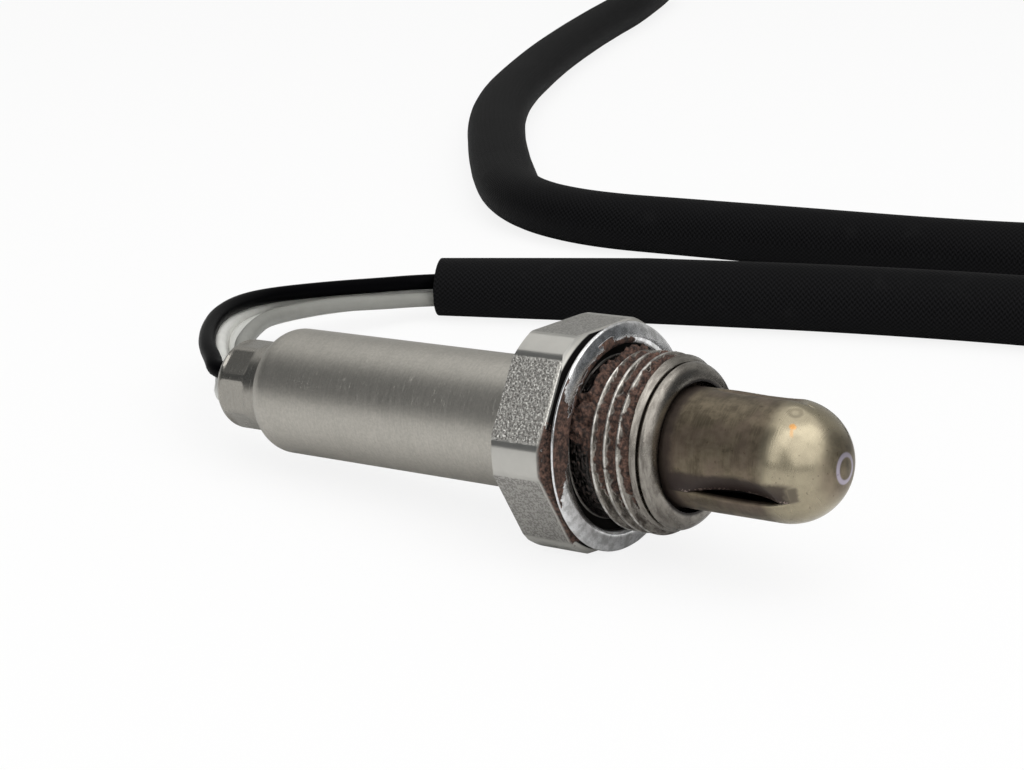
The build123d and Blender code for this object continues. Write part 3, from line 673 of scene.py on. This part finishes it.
class BuildTip(bpy.types.Operator):
    """Builds the protection tube with its dome, pressed louvres, dent and heat tint"""
    bl_idname = "sensor.build_tip"
    bl_label = "Louvred tip"

    def execute(self, context):
        sizes = context.scene.tube_sizes
        rows, columns = tip_rows(sizes), tip_columns()
        radii = pressed_radii(rows, columns, sizes)
        stations = np.repeat(rows[:, :1], len(columns), axis=1)
        points, faces = [], []
        for louvre in range(LOUVRES):
            turned = FIRST_SLIT + louvre * 360 / LOUVRES + columns
            angles = np.radians(turned + bowed(stations, columns, sizes))
            sector = turned_points(stations, dented(stations, radii, angles), angles)
            quads = grid_faces(*stations.shape, False, False)
            faces += [tuple(len(points) + i for i in face) for face in quads]
            points += sector.tolist()
        mesh = smooth_mesh("louvred_tube", points, faces, 40.0)
        close_tip(mesh)
        finish = tip_finish(context.scene.finish_colours)
        piece = new_piece("louvred_tube", mesh, finish, "tip_steel", "protection_tube")
        wall = piece.modifiers.new("Wall", "SOLIDIFY")
        wall.thickness = sizes.tip_wall * MM
        wall.offset = -1.0
        return {"FINISHED"}


def close_tip(mesh):
    """Joins the sectors outside the slits and closes the dome's pole."""
    shape = bmesh.new()
    shape.from_mesh(mesh)
    bmesh.ops.remove_doubles(shape, verts=shape.verts, dist=0.0005 * MM)
    pole = [edge for edge in shape.edges if edge.is_boundary and is_pole(edge)]
    bmesh.ops.holes_fill(shape, edges=pole, sides=0)
    shape.to_mesh(mesh)
    shape.free()


def is_pole(edge):
    return all((Matrix.Rotation(REST_TILT, 3, "Y") @ v.co).x > (DOME_X + 5.5) * MM for v in edge.verts)


# ---------------------------------------------------------------- rear sleeve

SLEEVE_WALL = 0.5
SHOULDER = (-42.2, 2.6)
NECK_END = -51.2
NECK_ROUND = 1.3
CRIMP = (-50.2, -46.6)
CRIMP_SIDES = 8
MOUTH_R = 3.5
SLEEVE_FRONT = -6.72
NECK_FRONT = -44.5
INNER_BEND = (-42.0, -44.4)
INSIDE_ROWS = 7


def neck_limit(stations, angles, sizes):
    """Radius of the crimp's flats, or a large one outside the crimp."""
    side = 2 * math.pi / CRIMP_SIDES
    off = ((angles + side / 2) % side) - side / 2
    flat = sizes.crimp_flats / 2 / np.cos(off)
    low, high = CRIMP
    inside = soft_step(stations, low - 0.1, low + 0.15) * (1 - soft_step(stations, high - 0.2, high + 0.1))
    return flat + (1 - inside) * 1.0


def sleeve_rows(sizes):
    main_r, neck_r = sizes.sleeve_diameter / 2, sizes.neck_diameter / 2
    shoulder_x, bend = SHOULDER
    bend_front, bend_rear = INNER_BEND
    rows = [(SLEEVE_FRONT, main_r - SLEEVE_WALL), (bend_front, main_r - SLEEVE_WALL),
            (bend_rear, neck_r - SLEEVE_WALL),
            (NECK_END + 1.0, neck_r - SLEEVE_WALL), (NECK_END + 0.5, MOUTH_R + 0.1),
            (NECK_END + 0.35, MOUTH_R), (NECK_END + 0.05, MOUTH_R)]
    rows += [(NECK_END + NECK_ROUND * (1 - math.cos(t)), neck_r - NECK_ROUND * (1 - math.sin(t)))
             for t in np.radians(np.linspace(0, 90, 12))]
    rows += [(x, neck_r) for x in np.arange(NECK_END + NECK_ROUND + 0.15, -45.3, 0.15)]
    full_turn = math.acos((bend - (main_r - neck_r)) / bend)
    fillet_x = shoulder_x - bend * math.sin(full_turn)
    rows += [(fillet_x - 0.35, neck_r), (fillet_x - 0.12, neck_r + 0.04)]
    rows += [(shoulder_x - bend * math.sin(t), main_r - bend * (1 - math.cos(t)))
             for t in np.linspace(full_turn - 0.06, 0, 16)]
    rows += [(x, main_r) for x in np.linspace(shoulder_x + 1, SLEEVE_FRONT, 36)]
    return np.array(rows)


def tube_finish(colours):
    make = Finish("satin drawn stainless", Metallic=1.0)
    place = make.sensor_place()
    x, _, _ = make.split(place)
    base = tuple(colours.tube)
    hoops = make.noise(make.stretched(place, (1.0, 0.03, 0.03)), 9.0, 5.0, 0.7)
    cloud = make.noise(place, 0.25, 3.0)
    mottle = make.noise(place, 3.2, 5.0, 0.75)
    scratches = make.band(make.noise(make.stretched(place, (2.4, 0.35, 0.35)), 2.6, 5.0, 0.8), 0.60, 0.66)
    colour = make.mix(cloud, shade(base, 0.92), shade(base, 1.08))
    colour = make.mix(make.band(mottle, 0.40, 0.60) * 0.45, colour, shade(base, 0.72))
    colour = make.mix(make.band(hoops, 0.46, 0.60) * 0.22, colour, shade(base, 1.30))
    colour = make.mix(scratches * 0.30, colour, shade(base, 1.45))
    neck = make.band(x, -44.6, -45.4)
    colour = make.mix(neck * 0.40, colour, (0.17, 0.16, 0.145))
    rough = 0.27 + hoops * 0.14 + mottle * 0.14 - neck * 0.12
    return make.feed(Base_Color=colour, Roughness=rough,
                     Normal=make.bump(hoops + mottle * 0.5 + scratches * 0.5, 0.35, 0.03 * MM))


class BuildRearSleeve(bpy.types.Operator):
    """Builds the rear sleeve with its shoulder, neck and crimp"""
    bl_idname = "sensor.build_rear_sleeve"
    bl_label = "Rear sleeve"

    def execute(self, context):
        sizes = context.scene.tube_sizes
        section = sleeve_rows(sizes)
        stations, radii, angles = turned_section(section)
        outside = np.arange(len(section))[:, None] >= INSIDE_ROWS
        limit = neck_limit(stations, angles[None, :], sizes)
        radii = np.where(outside & (stations < NECK_FRONT), np.minimum(radii, limit), radii)
        faces = grid_faces(*stations.shape, True, True)
        mesh = smooth_mesh("crimped_sleeve", turned_points(stations, radii, angles), faces, 50.0)
        finish = tube_finish(context.scene.finish_colours)
        new_piece("crimped_sleeve", mesh, finish, "sleeve_steel", "rear_sleeve")
        return {"FINISHED"}


# ---------------------------------------------------------------- lead

# points of each bare wire, from inside the sensor to inside the braided sleeve
BARE_ROUTES = {
    "black": [(-37.6, -1.5, -1.1), (-49.6, -1.5, -1.9), (-53.9, -1.5, -2.2), (-56.6, 0.9, -2.0),
              (-61.5, 4.8, -2.1), (-67.1, 10.7, -2.5), (-72.8, 18.1, -3.0), (-76.6, 25.7, -3.6),
              (-78.5, 33.5, -4.5), (-76.7, 43.0, -5.3), (-74.3, 50.2, -5.9), (-72.5, 56.3, -6.4),
              (-67.9, 61.3, -6.5), (-61.2, 65.9, -6.3)],
    "grey": [(-37.6, 1.5, -1.1), (-49.6, 1.5, -1.9), (-53.4, 1.7, -2.2), (-55.9, 5.4, -2.9),
             (-59.1, 8.0, -2.4), (-66.8, 17.9, -3.9), (-74.4, 28.5, -5.9), (-76.5, 35.9, -6.9),
             (-75.6, 42.7, -7.2), (-73.3, 49.9, -8.0), (-71.6, 56.0, -8.6), (-67.5, 60.6, -8.8),
             (-60.3, 64.1, -8.5)],
    "white_1": [(-37.4, -1.5, -4.1), (-49.2, -1.5, -4.9), (-53.2, -1.5, -5.1), (-55.8, 1.9, -4.4),
                (-63.5, 8.7, -3.3), (-72.7, 19.3, -4.9), (-77.9, 27.7, -5.9), (-80.2, 36.1, -6.1),
                (-78.9, 43.6, -6.2), (-76.5, 50.9, -6.7), (-74.6, 57.3, -7.1), (-68.9, 63.4, -7.2),
                (-61.8, 67.0, -7.6)],
    "white_2": [(-37.4, 1.5, -4.1), (-49.4, 1.5, -4.9), (-53.2, 1.6, -5.2), (-56.0, 5.0, -4.8),
                (-64.0, 11.7, -4.3), (-71.7, 21.0, -5.6), (-76.1, 28.1, -6.7), (-78.5, 36.0, -7.6),
                (-77.6, 43.3, -7.9), (-75.2, 50.5, -8.3), (-73.4, 56.8, -8.7), (-68.4, 62.4, -8.9),
                (-61.2, 65.9, -9.0)]}
MOUTH = (-71.6, 59.6)
HARNESS_ROUTE = [(-47.0, 72.8), (-16.0, 88.2), (20.0, 100.0), (55.0, 101.0), (87.0, 110.0),
                 (105.0, 138.0), (95.0, 169.0), (64.0, 178.0), (35.0, 160.0), (10.0, 135.0),
                 (-18.0, 119.5), (-53.0, 111.0), (-90.0, 101.3), (-120.0, 133.5), (-150.0, 171.5),
                 (-173.0, 214.0), (-193.0, 259.0), (-211.0, 306.0)]
HARNESS_END = (-224.5, 333.0)
PLUG_AT = (-235.4, 354.4)
PLUG_CENTRE_H = 8.5
PLUG_LEAD = 8.0
WIRE_STRIP_X = 11.5
WIRE_DROP = 0.6
BUNDLE_PITCH = 2.2
CAVITY_PITCH = 5.2
RUN_STEPS = 24
LINE_STEP = 1.0
WIRE_SIDES = 16
BRAID_SIDES = 40
BRAID_PITCH = 0.72
BRAID_WAVER = 0.12
WIRE_PLACES = {"black": (1, 1), "grey": (-1, 1), "white_1": (1, -1), "white_2": (-1, -1)}
WIRE_SLOTS = {"black": "insulation_black", "grey": "insulation_grey",
              "white_1": "insulation_white", "white_2": "insulation_white"}


def on_floor(points, height):
    return [(x, y, FLOOR_Z + height) for x, y in points]


def in_plug(along):
    heading = (Vector(PLUG_AT) - Vector(HARNESS_END)).normalized() * along
    return (PLUG_AT[0] + heading.x, PLUG_AT[1] + heading.y, FLOOR_Z + PLUG_CENTRE_H)


def bundle_route(sleeve_diameter):
    """The middle of the four wires, from where they are well inside the sleeve to their terminals."""
    sleeved = on_floor(HARNESS_ROUTE + [HARNESS_END], sleeve_diameter / 2 - WIRE_DROP)
    return sleeved + [in_plug(-PLUG_LEAD), in_plug(WIRE_STRIP_X)]


def side_steps(route):
    """For each point, the step to the left in plan that keeps both its runs parallel."""
    heads = [Vector((b[0] - a[0], b[1] - a[1], 0)).normalized() for a, b in zip(route, route[1:])]
    steps = []
    for head_in, head_out in zip([heads[0]] + heads, heads + [heads[-1]]):
        across_in, across_out = Vector((-head_in.y, head_in.x, 0)), Vector((-head_out.y, head_out.x, 0))
        steps.append((across_in + across_out) / (1 + across_in.dot(across_out)))
    return steps


def wire_route(name, sleeve_diameter):
    """A wire's own points to the sleeve's mouth, then its place beside the others."""
    left, up = WIRE_PLACES[name]
    middle = bundle_route(sleeve_diameter)
    spread = [BUNDLE_PITCH / 2] * (len(middle) - 2) + [CAVITY_PITCH / 2] * 2
    return BARE_ROUTES[name] + [Vector(point) + step * left * gap + Vector((0, 0, up * gap))
                                for point, step, gap in zip(middle, side_steps(middle), spread)]


def spline_points(route):
    """Points, in millimetres, along the NURBS spline that has this route as its control points."""
    curve = bpy.data.curves.new("route", "CURVE")
    curve.dimensions = "3D"
    spline = curve.splines.new("NURBS")
    spline.points.add(len(route) - 1)
    for point, where in zip(spline.points, route):
        point.co = (*(c * MM for c in where), 1.0)
    spline.order_u = 3
    spline.use_endpoint_u = True
    spline.resolution_u = RUN_STEPS
    holder = bpy.data.objects.new("route", curve)
    bpy.context.scene.collection.objects.link(holder)
    line = bpy.data.meshes.new_from_object(holder)
    points = np.array([v.co for v in line.vertices]) / MM
    bpy.data.objects.remove(holder)
    bpy.data.meshes.remove(line)
    bpy.data.curves.remove(curve)
    return points


def evenly(points):
    """The same line resampled at even steps, and its length."""
    lengths = np.concatenate([[0], np.cumsum(np.linalg.norm(np.diff(points, axis=0), axis=1))])
    count = int(round(lengths[-1] / LINE_STEP))
    at = np.linspace(0, lengths[-1], count + 1)
    return np.stack([np.interp(at, lengths, points[:, i]) for i in range(3)], axis=1), lengths[-1]


def line_frames(points):
    """Unit directions along a line, level to its left and upwards."""
    along = np.gradient(points, axis=0)
    along /= np.linalg.norm(along, axis=1)[:, None]
    left = np.cross([0.0, 0.0, 1.0], along)
    left /= np.linalg.norm(left, axis=1)[:, None]
    return along, left, np.cross(along, left)


def tube_mesh(name, points, half_widths, half_heights, sides, bore_scale=None):
    """A closed tube along a line, with an oval section, and a bore where one is asked for."""
    _, left, up = line_frames(points)
    turn = np.linspace(0, 2 * math.pi, sides, endpoint=False)

    def skin(scale):
        wide = (half_widths * scale)[:, None, None] * np.cos(turn)[None, :, None] * left[:, None, :]
        high = (half_heights * scale)[:, None, None] * np.sin(turn)[None, :, None] * up[:, None, :]
        return points[:, None, :] + wide + high

    outer = skin(1.0)
    count = len(points)
    if bore_scale:
        rings = np.concatenate([outer, skin(bore_scale)[::-1]])
        faces = grid_faces(len(rings), sides, True, True)
        return smooth_mesh(name, rings.reshape(-1, 3), faces, 60.0)
    faces = grid_faces(count, sides, False, True)
    faces.append(tuple(range(sides))[::-1])
    faces.append(tuple((count - 1) * sides + i for i in range(sides)))
    return smooth_mesh(name, outer.reshape(-1, 3), faces, 60.0)


def lead_uv(mesh, count, sides, length, girth):
    """A UV map in millimetres for a tube with a bore: along the lead, then round it."""
    layer = mesh.uv_layers.new(name="lead")
    rings = count * 2
    values = np.zeros((len(mesh.loops), 2), dtype=np.float32)
    vertex = np.empty(len(mesh.loops), dtype=np.int32)
    mesh.loops.foreach_get("vertex_index", vertex)
    starts = np.empty(len(mesh.polygons), dtype=np.int32)
    mesh.polygons.foreach_get("loop_start", starts)
    ring, side = vertex // sides, vertex % sides
    position = np.where(ring < count, ring, rings - 1 - ring)
    values[:, 0] = position / (count - 1) * length
    values[:, 1] = side / sides * girth
    for polygon in mesh.polygons:
        loops = list(polygon.loop_indices)
        if len(loops) == 4:
            round_values = values[loops, 1]
            if round_values.max() - round_values.min() > girth / 2:
                values[loops, 1] = np.where(round_values < girth / 2, round_values + girth, round_values)
    layer.data.foreach_set("uv", values.ravel())


def insulation_finish(name, colour, gloss, shine):
    make = Finish(name, Roughness=gloss, Specular_IOR_Level=shine, IOR=1.2 if shine < 0.1 else 1.5)
    place = make.place()
    mottle = make.noise(place, 0.6, 4.0)
    base = make.mix(mottle, shade(colour, 0.86), shade(colour, 1.08))
    fine = make.noise(place, 4.0, 3.0)
    return make.feed(Base_Color=base, Roughness=gloss + fine * 0.12, Normal=make.bump(fine, 0.15, 0.05 * MM))


class BuildWires(bpy.types.Operator):
    """Builds the four insulated wires from the sensor to the connector"""
    bl_idname = "sensor.build_wires"
    bl_label = "Wires"

    def execute(self, context):
        sizes = context.scene.lead_sizes
        finishes = {"black": insulation_finish("black insulation", (0.0016, 0.0016, 0.002), 0.30, 0.06),
                    "grey": insulation_finish("grey insulation", (0.25, 0.25, 0.23), 0.42, 0.35),
                    "white_1": insulation_finish("white insulation", (0.70, 0.70, 0.665), 0.36, 0.45)}
        finishes["white_2"] = finishes["white_1"]
        for name in WIRE_PLACES:
            route = wire_route(name, sizes.sleeve_diameter)
            points, length = evenly(spline_points(route))
            half = np.full(len(points), sizes.wire_diameter / 2)
            mesh = tube_mesh(f"insulated_wire_{name}", points, half, half, WIRE_SIDES)
            piece = new_piece(f"insulated_wire_{name}", mesh, finishes[name], WIRE_SLOTS[name],
                              f"wire_{name}")
        return {"FINISHED"}


# share of the sleeve's length, and its height there: it lies a little flattened or full
SLEEVE_HEIGHTS = [(0.0, 7.6), (0.04, 8.7), (0.14, 9.2), (0.22, 9.9), (0.35, 9.9), (0.50, 9.0), (0.60, 8.3),
                  (0.66, 7.6), (0.70, 7.8), (0.80, 7.4), (1.0, 8.6)]


def braid_finish(colours):
    make = Finish("black braid", Specular_IOR_Level=0.12, IOR=1.25)
    uv = make.node("ShaderNodeUVMap", {"uv_map": "lead"})
    along, across, _ = make.split(uv)
    one = (along + across) / BRAID_PITCH
    other = (along - across) / BRAID_PITCH
    strand_a = make.wave(one)
    strand_b = make.wave(other)
    over = make.wave((one + other) * 0.5)
    weave = make.blend(over, strand_a, strand_b)
    dust = make.noise(uv, 0.15, 5.0, 0.7)
    base = tuple(colours.braid)
    colour = make.mix(weave, shade(base, 0.3), shade(base, 2.2))
    colour = make.mix(make.band(dust, 0.55, 0.8) * 0.25, colour, (0.02, 0.02, 0.02))
    return make.feed(Base_Color=colour, Roughness=0.50 + weave * 0.2,
                     Normal=make.bump(weave, 0.45, 0.10 * MM))


class BuildBraidedSleeve(bpy.types.Operator):
    """Builds the black braided sleeve that lies along the lead's route"""
    bl_idname = "sensor.build_braided_sleeve"
    bl_label = "Braided sleeve"

    def execute(self, context):
        sizes = context.scene.lead_sizes
        nominal = sizes.sleeve_diameter
        route = on_floor([MOUTH] + HARNESS_ROUTE + [HARNESS_END], nominal / 2)
        points, length = evenly(spline_points(route))
        share = np.linspace(0, 1, len(points))
        heights = np.interp(share, *zip(*SLEEVE_HEIGHTS)) / 2
        widths = nominal - heights
        wavy = np.array([noise.noise(Vector((s * 40, 3.1, 0))) for s in share])
        laid = points.copy()
        laid[:, 2] = FLOOR_Z + heights + 0.01
        mesh = tube_mesh("braided_sleeve", laid, widths + BRAID_WAVER * wavy, heights, BRAID_SIDES,
                         sizes.sleeve_bore / nominal)
        lead_uv(mesh, len(points), BRAID_SIDES, length, math.pi * nominal)
        piece = new_piece("braided_sleeve", mesh, braid_finish(context.scene.finish_colours), "braid_black",
                          "harness_sleeve")
        return {"FINISHED"}


# ---------------------------------------------------------------- carried-over CAD pieces

def plain_finish(name, colour, rough, metallic=0.0, grain=2.0):
    make = Finish(name, Metallic=metallic)
    place = make.place()
    cloud = make.noise(place, 0.4, 4.0)
    fine = make.noise(place, grain, 4.0, 0.6)
    base = make.mix(cloud, shade(colour, 0.85), shade(colour, 1.12))
    return make.feed(Base_Color=base, Roughness=rough + fine * 0.15, Normal=make.bump(fine, 0.3, 0.03 * MM))


class FinishCarriedPieces(bpy.types.Operator):
    """Gives the inner pieces, the grommet and the connector their finishes"""
    bl_idname = "sensor.finish_carried_pieces"
    bl_label = "Inner pieces and connector"

    def execute(self, context):
        ceramic = plain_finish("sintered ceramic", (0.72, 0.70, 0.64), 0.55, grain=6.0)
        # the thimble seen through the slits is near black: soot and painted shade inside the tube
        soot_and_shade = plain_finish("sooty_shaded ceramic", (0.020, 0.018, 0.016), 0.8, grain=6.0)
        steel = plain_finish("pressed steel", (0.52, 0.51, 0.49), 0.32, 1.0, 6.0)
        rubber = plain_finish("black rubber", (0.018, 0.018, 0.018), 0.55, grain=5.0)
        shell = plain_finish("black moulded plastic", (0.022, 0.022, 0.024), 0.42, grain=9.0)
        lock = plain_finish("grey moulded plastic", (0.20, 0.20, 0.21), 0.42, grain=9.0)
        seal = plain_finish("red silicone", (0.28, 0.055, 0.03), 0.45, grain=5.0)
        tin = plain_finish("tinned brass", (0.62, 0.58, 0.48), 0.28, 1.0, 6.0)
        finishes = {"sensor_thimble": soot_and_shade, "heater_rod": ceramic, "ceramic_support_tube": ceramic,
                    "terminal_carrier": ceramic, "thimble_seal_ring": steel, "contact_element": steel,
                    "disc_spring": steel, "signal_terminal": steel, "ground_terminal": steel,
                    "heater_terminal_1": steel, "heater_terminal_2": steel, "wire_grommet": rubber,
                    "connector_housing": shell, "connector_lock": lock, "connector_front_seal": seal}
        for number in range(1, 5):
            finishes[f"wire_seal_{number}"] = seal
            finishes[f"plug_terminal_{number}"] = tin
        for node, finish in finishes.items():
            piece = frame["nodes"][node]
            for material_slot in piece.material_slots:
                material_slot.material = finish
        return {"FINISHED"}


# ---------------------------------------------------------------- stage

CAMERA_AT = (0.1370, -0.1931, 0.0749)
CAMERA_RIGHT = (0.7901, 0.6130, -0.0035)
CAMERA_DOWN = (0.1704, -0.2251, -0.9593)
PICTURE_WIDTH = 1024
FLOOR_LIFT = 0.86
FLOOR_HALF = 6.0
FLOOR_GAP = 0.02
# directions of the room's dark parts, and the cosines where each begins and is full
DARK_PARTS = [((-0.65, -0.64, 0.41), (0.70, 0.92)), ((0.72, 0.62, 0.20), (0.86, 0.97))]
ROOM_COLOUR = (0.46, 0.46, 0.45, 1)
DARK_COLOUR = (0.10, 0.105, 0.11, 1)
# name, azimuth, elevation, distance, width, height, radiance
SOFTBOXES = [("right box", 66, 44, 0.6, 0.85, 0.85, 1.15), ("left box", -4, 43, 0.6, 0.27, 0.75, 1.15),
             ("top box", 180, 80, 0.7, 1.3, 0.7, 0.8)]
FOCAL_PIXELS = 2500
SENSOR_WIDTH = 36.0


def add_camera():
    data = bpy.data.cameras.new("camera")
    data.sensor_fit = "HORIZONTAL"
    data.sensor_width = SENSOR_WIDTH
    data.lens = SENSOR_WIDTH * FOCAL_PIXELS / PICTURE_WIDTH
    data.clip_start = 0.01
    right = Vector(CAMERA_RIGHT).normalized()
    back = right.cross(-Vector(CAMERA_DOWN)).normalized()
    up = back.cross(right)
    camera = bpy.data.objects.new("camera", data)
    camera.matrix_world = Matrix.Translation(CAMERA_AT) @ Matrix((right, up, back)).transposed().to_4x4()
    bpy.context.scene.collection.objects.link(camera)
    bpy.context.scene.camera = camera


def add_softbox(name, azimuth, elevation, distance, width, height, radiance):
    """A rectangular lamp that faces the sensor. Azimuth is from straight in front, to the right."""
    turn, rise = math.radians(azimuth), math.radians(elevation)
    data = bpy.data.lights.new(name, "AREA")
    data.shape = "RECTANGLE"
    data.size, data.size_y = width, height
    data.energy = radiance * math.pi * width * height
    lamp = bpy.data.objects.new(name, data)
    toward = Vector((math.sin(turn) * math.cos(rise), -math.cos(turn) * math.cos(rise), math.sin(rise)))
    lamp.location = toward * distance
    lamp.rotation_euler = toward.to_track_quat("Z", "Y").to_euler()
    bpy.context.scene.collection.objects.link(lamp)


def add_node(tree, kind, **values):
    made = tree.nodes.new(kind)
    for key, value in values.items():
        made.inputs[key].default_value = value
    return made


def link(tree, *pairs):
    for start, end in pairs:
        tree.links.new(start, end)


def floor_material():
    """Pale, with its shadows, and lifted towards white for the camera."""
    made = bpy.data.materials.new("floor")
    made.use_nodes = True
    tree = made.node_tree
    tree.nodes.clear()
    out = tree.nodes.new("ShaderNodeOutputMaterial")
    diffuse = add_node(tree, "ShaderNodeBsdfDiffuse", Color=(0.88, 0.88, 0.88, 1))
    glow = add_node(tree, "ShaderNodeEmission", Strength=1.0)
    path = tree.nodes.new("ShaderNodeLightPath")
    seen = add_node(tree, "ShaderNodeMath")
    seen.operation = "MULTIPLY"
    seen.inputs[1].default_value = FLOOR_LIFT
    mix = tree.nodes.new("ShaderNodeMixShader")
    link(tree, (path.outputs["Is Camera Ray"], seen.inputs[0]), (seen.outputs[0], mix.inputs[0]),
         (diffuse.outputs[0], mix.inputs[1]), (glow.outputs[0], mix.inputs[2]),
         (mix.outputs[0], out.inputs["Surface"]))
    return made


def studio_world():
    """A grey room with dark parts, which give the bright metal its contrast, and white to the camera."""
    world = bpy.data.worlds.new("studio")
    world.use_nodes = True
    tree = world.node_tree
    tree.nodes.clear()
    out = tree.nodes.new("ShaderNodeOutputWorld")
    lit = add_node(tree, "ShaderNodeBackground", Strength=1.0)
    white = add_node(tree, "ShaderNodeBackground", Color=(1, 1, 1, 1), Strength=1.0)
    where = tree.nodes.new("ShaderNodeTexCoord")
    darkness = add_node(tree, "ShaderNodeMath")
    darkness.operation = "ADD"
    for slot, (direction, edges) in enumerate(DARK_PARTS):
        toward = tree.nodes.new("ShaderNodeVectorMath")
        toward.operation = "DOT_PRODUCT"
        toward.inputs[1].default_value = Vector(direction).normalized()
        dark = add_node(tree, "ShaderNodeMapRange")
        dark.interpolation_type = "SMOOTHSTEP"
        dark.inputs["From Min"].default_value, dark.inputs["From Max"].default_value = edges
        link(tree, (where.outputs["Generated"], toward.inputs[0]),
             (toward.outputs["Value"], dark.inputs["Value"]), (dark.outputs[0], darkness.inputs[slot]))
    mix = tree.nodes.new("ShaderNodeMix")
    mix.data_type = "RGBA"
    mix.inputs[6].default_value = ROOM_COLOUR
    mix.inputs[7].default_value = DARK_COLOUR
    path = tree.nodes.new("ShaderNodeLightPath")
    choose = tree.nodes.new("ShaderNodeMixShader")
    link(tree, (darkness.outputs[0], mix.inputs[0]), (mix.outputs[2], lit.inputs["Color"]),
         (path.outputs["Is Camera Ray"], choose.inputs[0]), (lit.outputs[0], choose.inputs[1]),
         (white.outputs[0], choose.inputs[2]), (choose.outputs[0], out.inputs["Surface"]))
    return world


class BuildStage(bpy.types.Operator):
    """Adds the pale floor, the soft lamps, the world and the camera"""
    bl_idname = "sensor.build_stage"
    bl_label = "Floor, lamps and camera"

    def execute(self, context):
        mesh = bpy.data.meshes.new("floor")
        z = (FLOOR_Z - FLOOR_GAP) * MM
        corners = [(x * FLOOR_HALF, y * FLOOR_HALF, z) for x, y in ((-1, -1), (1, -1), (1, 1), (-1, 1))]
        mesh.from_pydata(corners, [], [(0, 1, 2, 3)])
        mesh.materials.append(floor_material())
        floor = bpy.data.objects.new("floor", mesh)
        context.scene.collection.objects.link(floor)
        for lamp in SOFTBOXES:
            add_softbox(*lamp)
        context.scene.world = studio_world()
        context.scene.view_settings.view_transform = "Standard"
        add_camera()
        return {"FINISHED"}


# ---------------------------------------------------------------- panel and running

OPERATORS = [BuildStage, BuildWires, BuildBraidedSleeve, BuildHousing, BuildGasket, BuildTip, BuildRearSleeve,
             FinishCarriedPieces]


class SensorPanel(bpy.types.Panel):
    """Lists the steps that build the sensor"""
    bl_idname = "VIEW3D_PT_oxygen_sensor"
    bl_label = "Oxygen sensor"
    bl_space_type = "VIEW_3D"
    bl_region_type = "UI"
    bl_category = "Oxygen sensor"

    def draw(self, context):
        for operator in OPERATORS:
            self.layout.operator(operator.bl_idname)


GROUPS = {"housing_sizes": HousingSizes, "tube_sizes": TubeSizes, "lead_sizes": LeadSizes,
          "finish_colours": FinishColours}


def register():
    for group in [*GROUPS.values(), *OPERATORS, SensorPanel]:
        bpy.utils.register_class(group)
    for name, group in GROUPS.items():
        setattr(bpy.types.Scene, name, bpy.props.PointerProperty(type=group))


def unregister():
    for name in GROUPS:
        delattr(bpy.types.Scene, name)
    for group in reversed([*GROUPS.values(), *OPERATORS, SensorPanel]):
        bpy.utils.unregister_class(group)


def main():
    register()
    for operator in OPERATORS:
        group, step = operator.bl_idname.split(".")
        getattr(getattr(bpy.ops, group), step)()


if __name__ == "__main__":
    main()
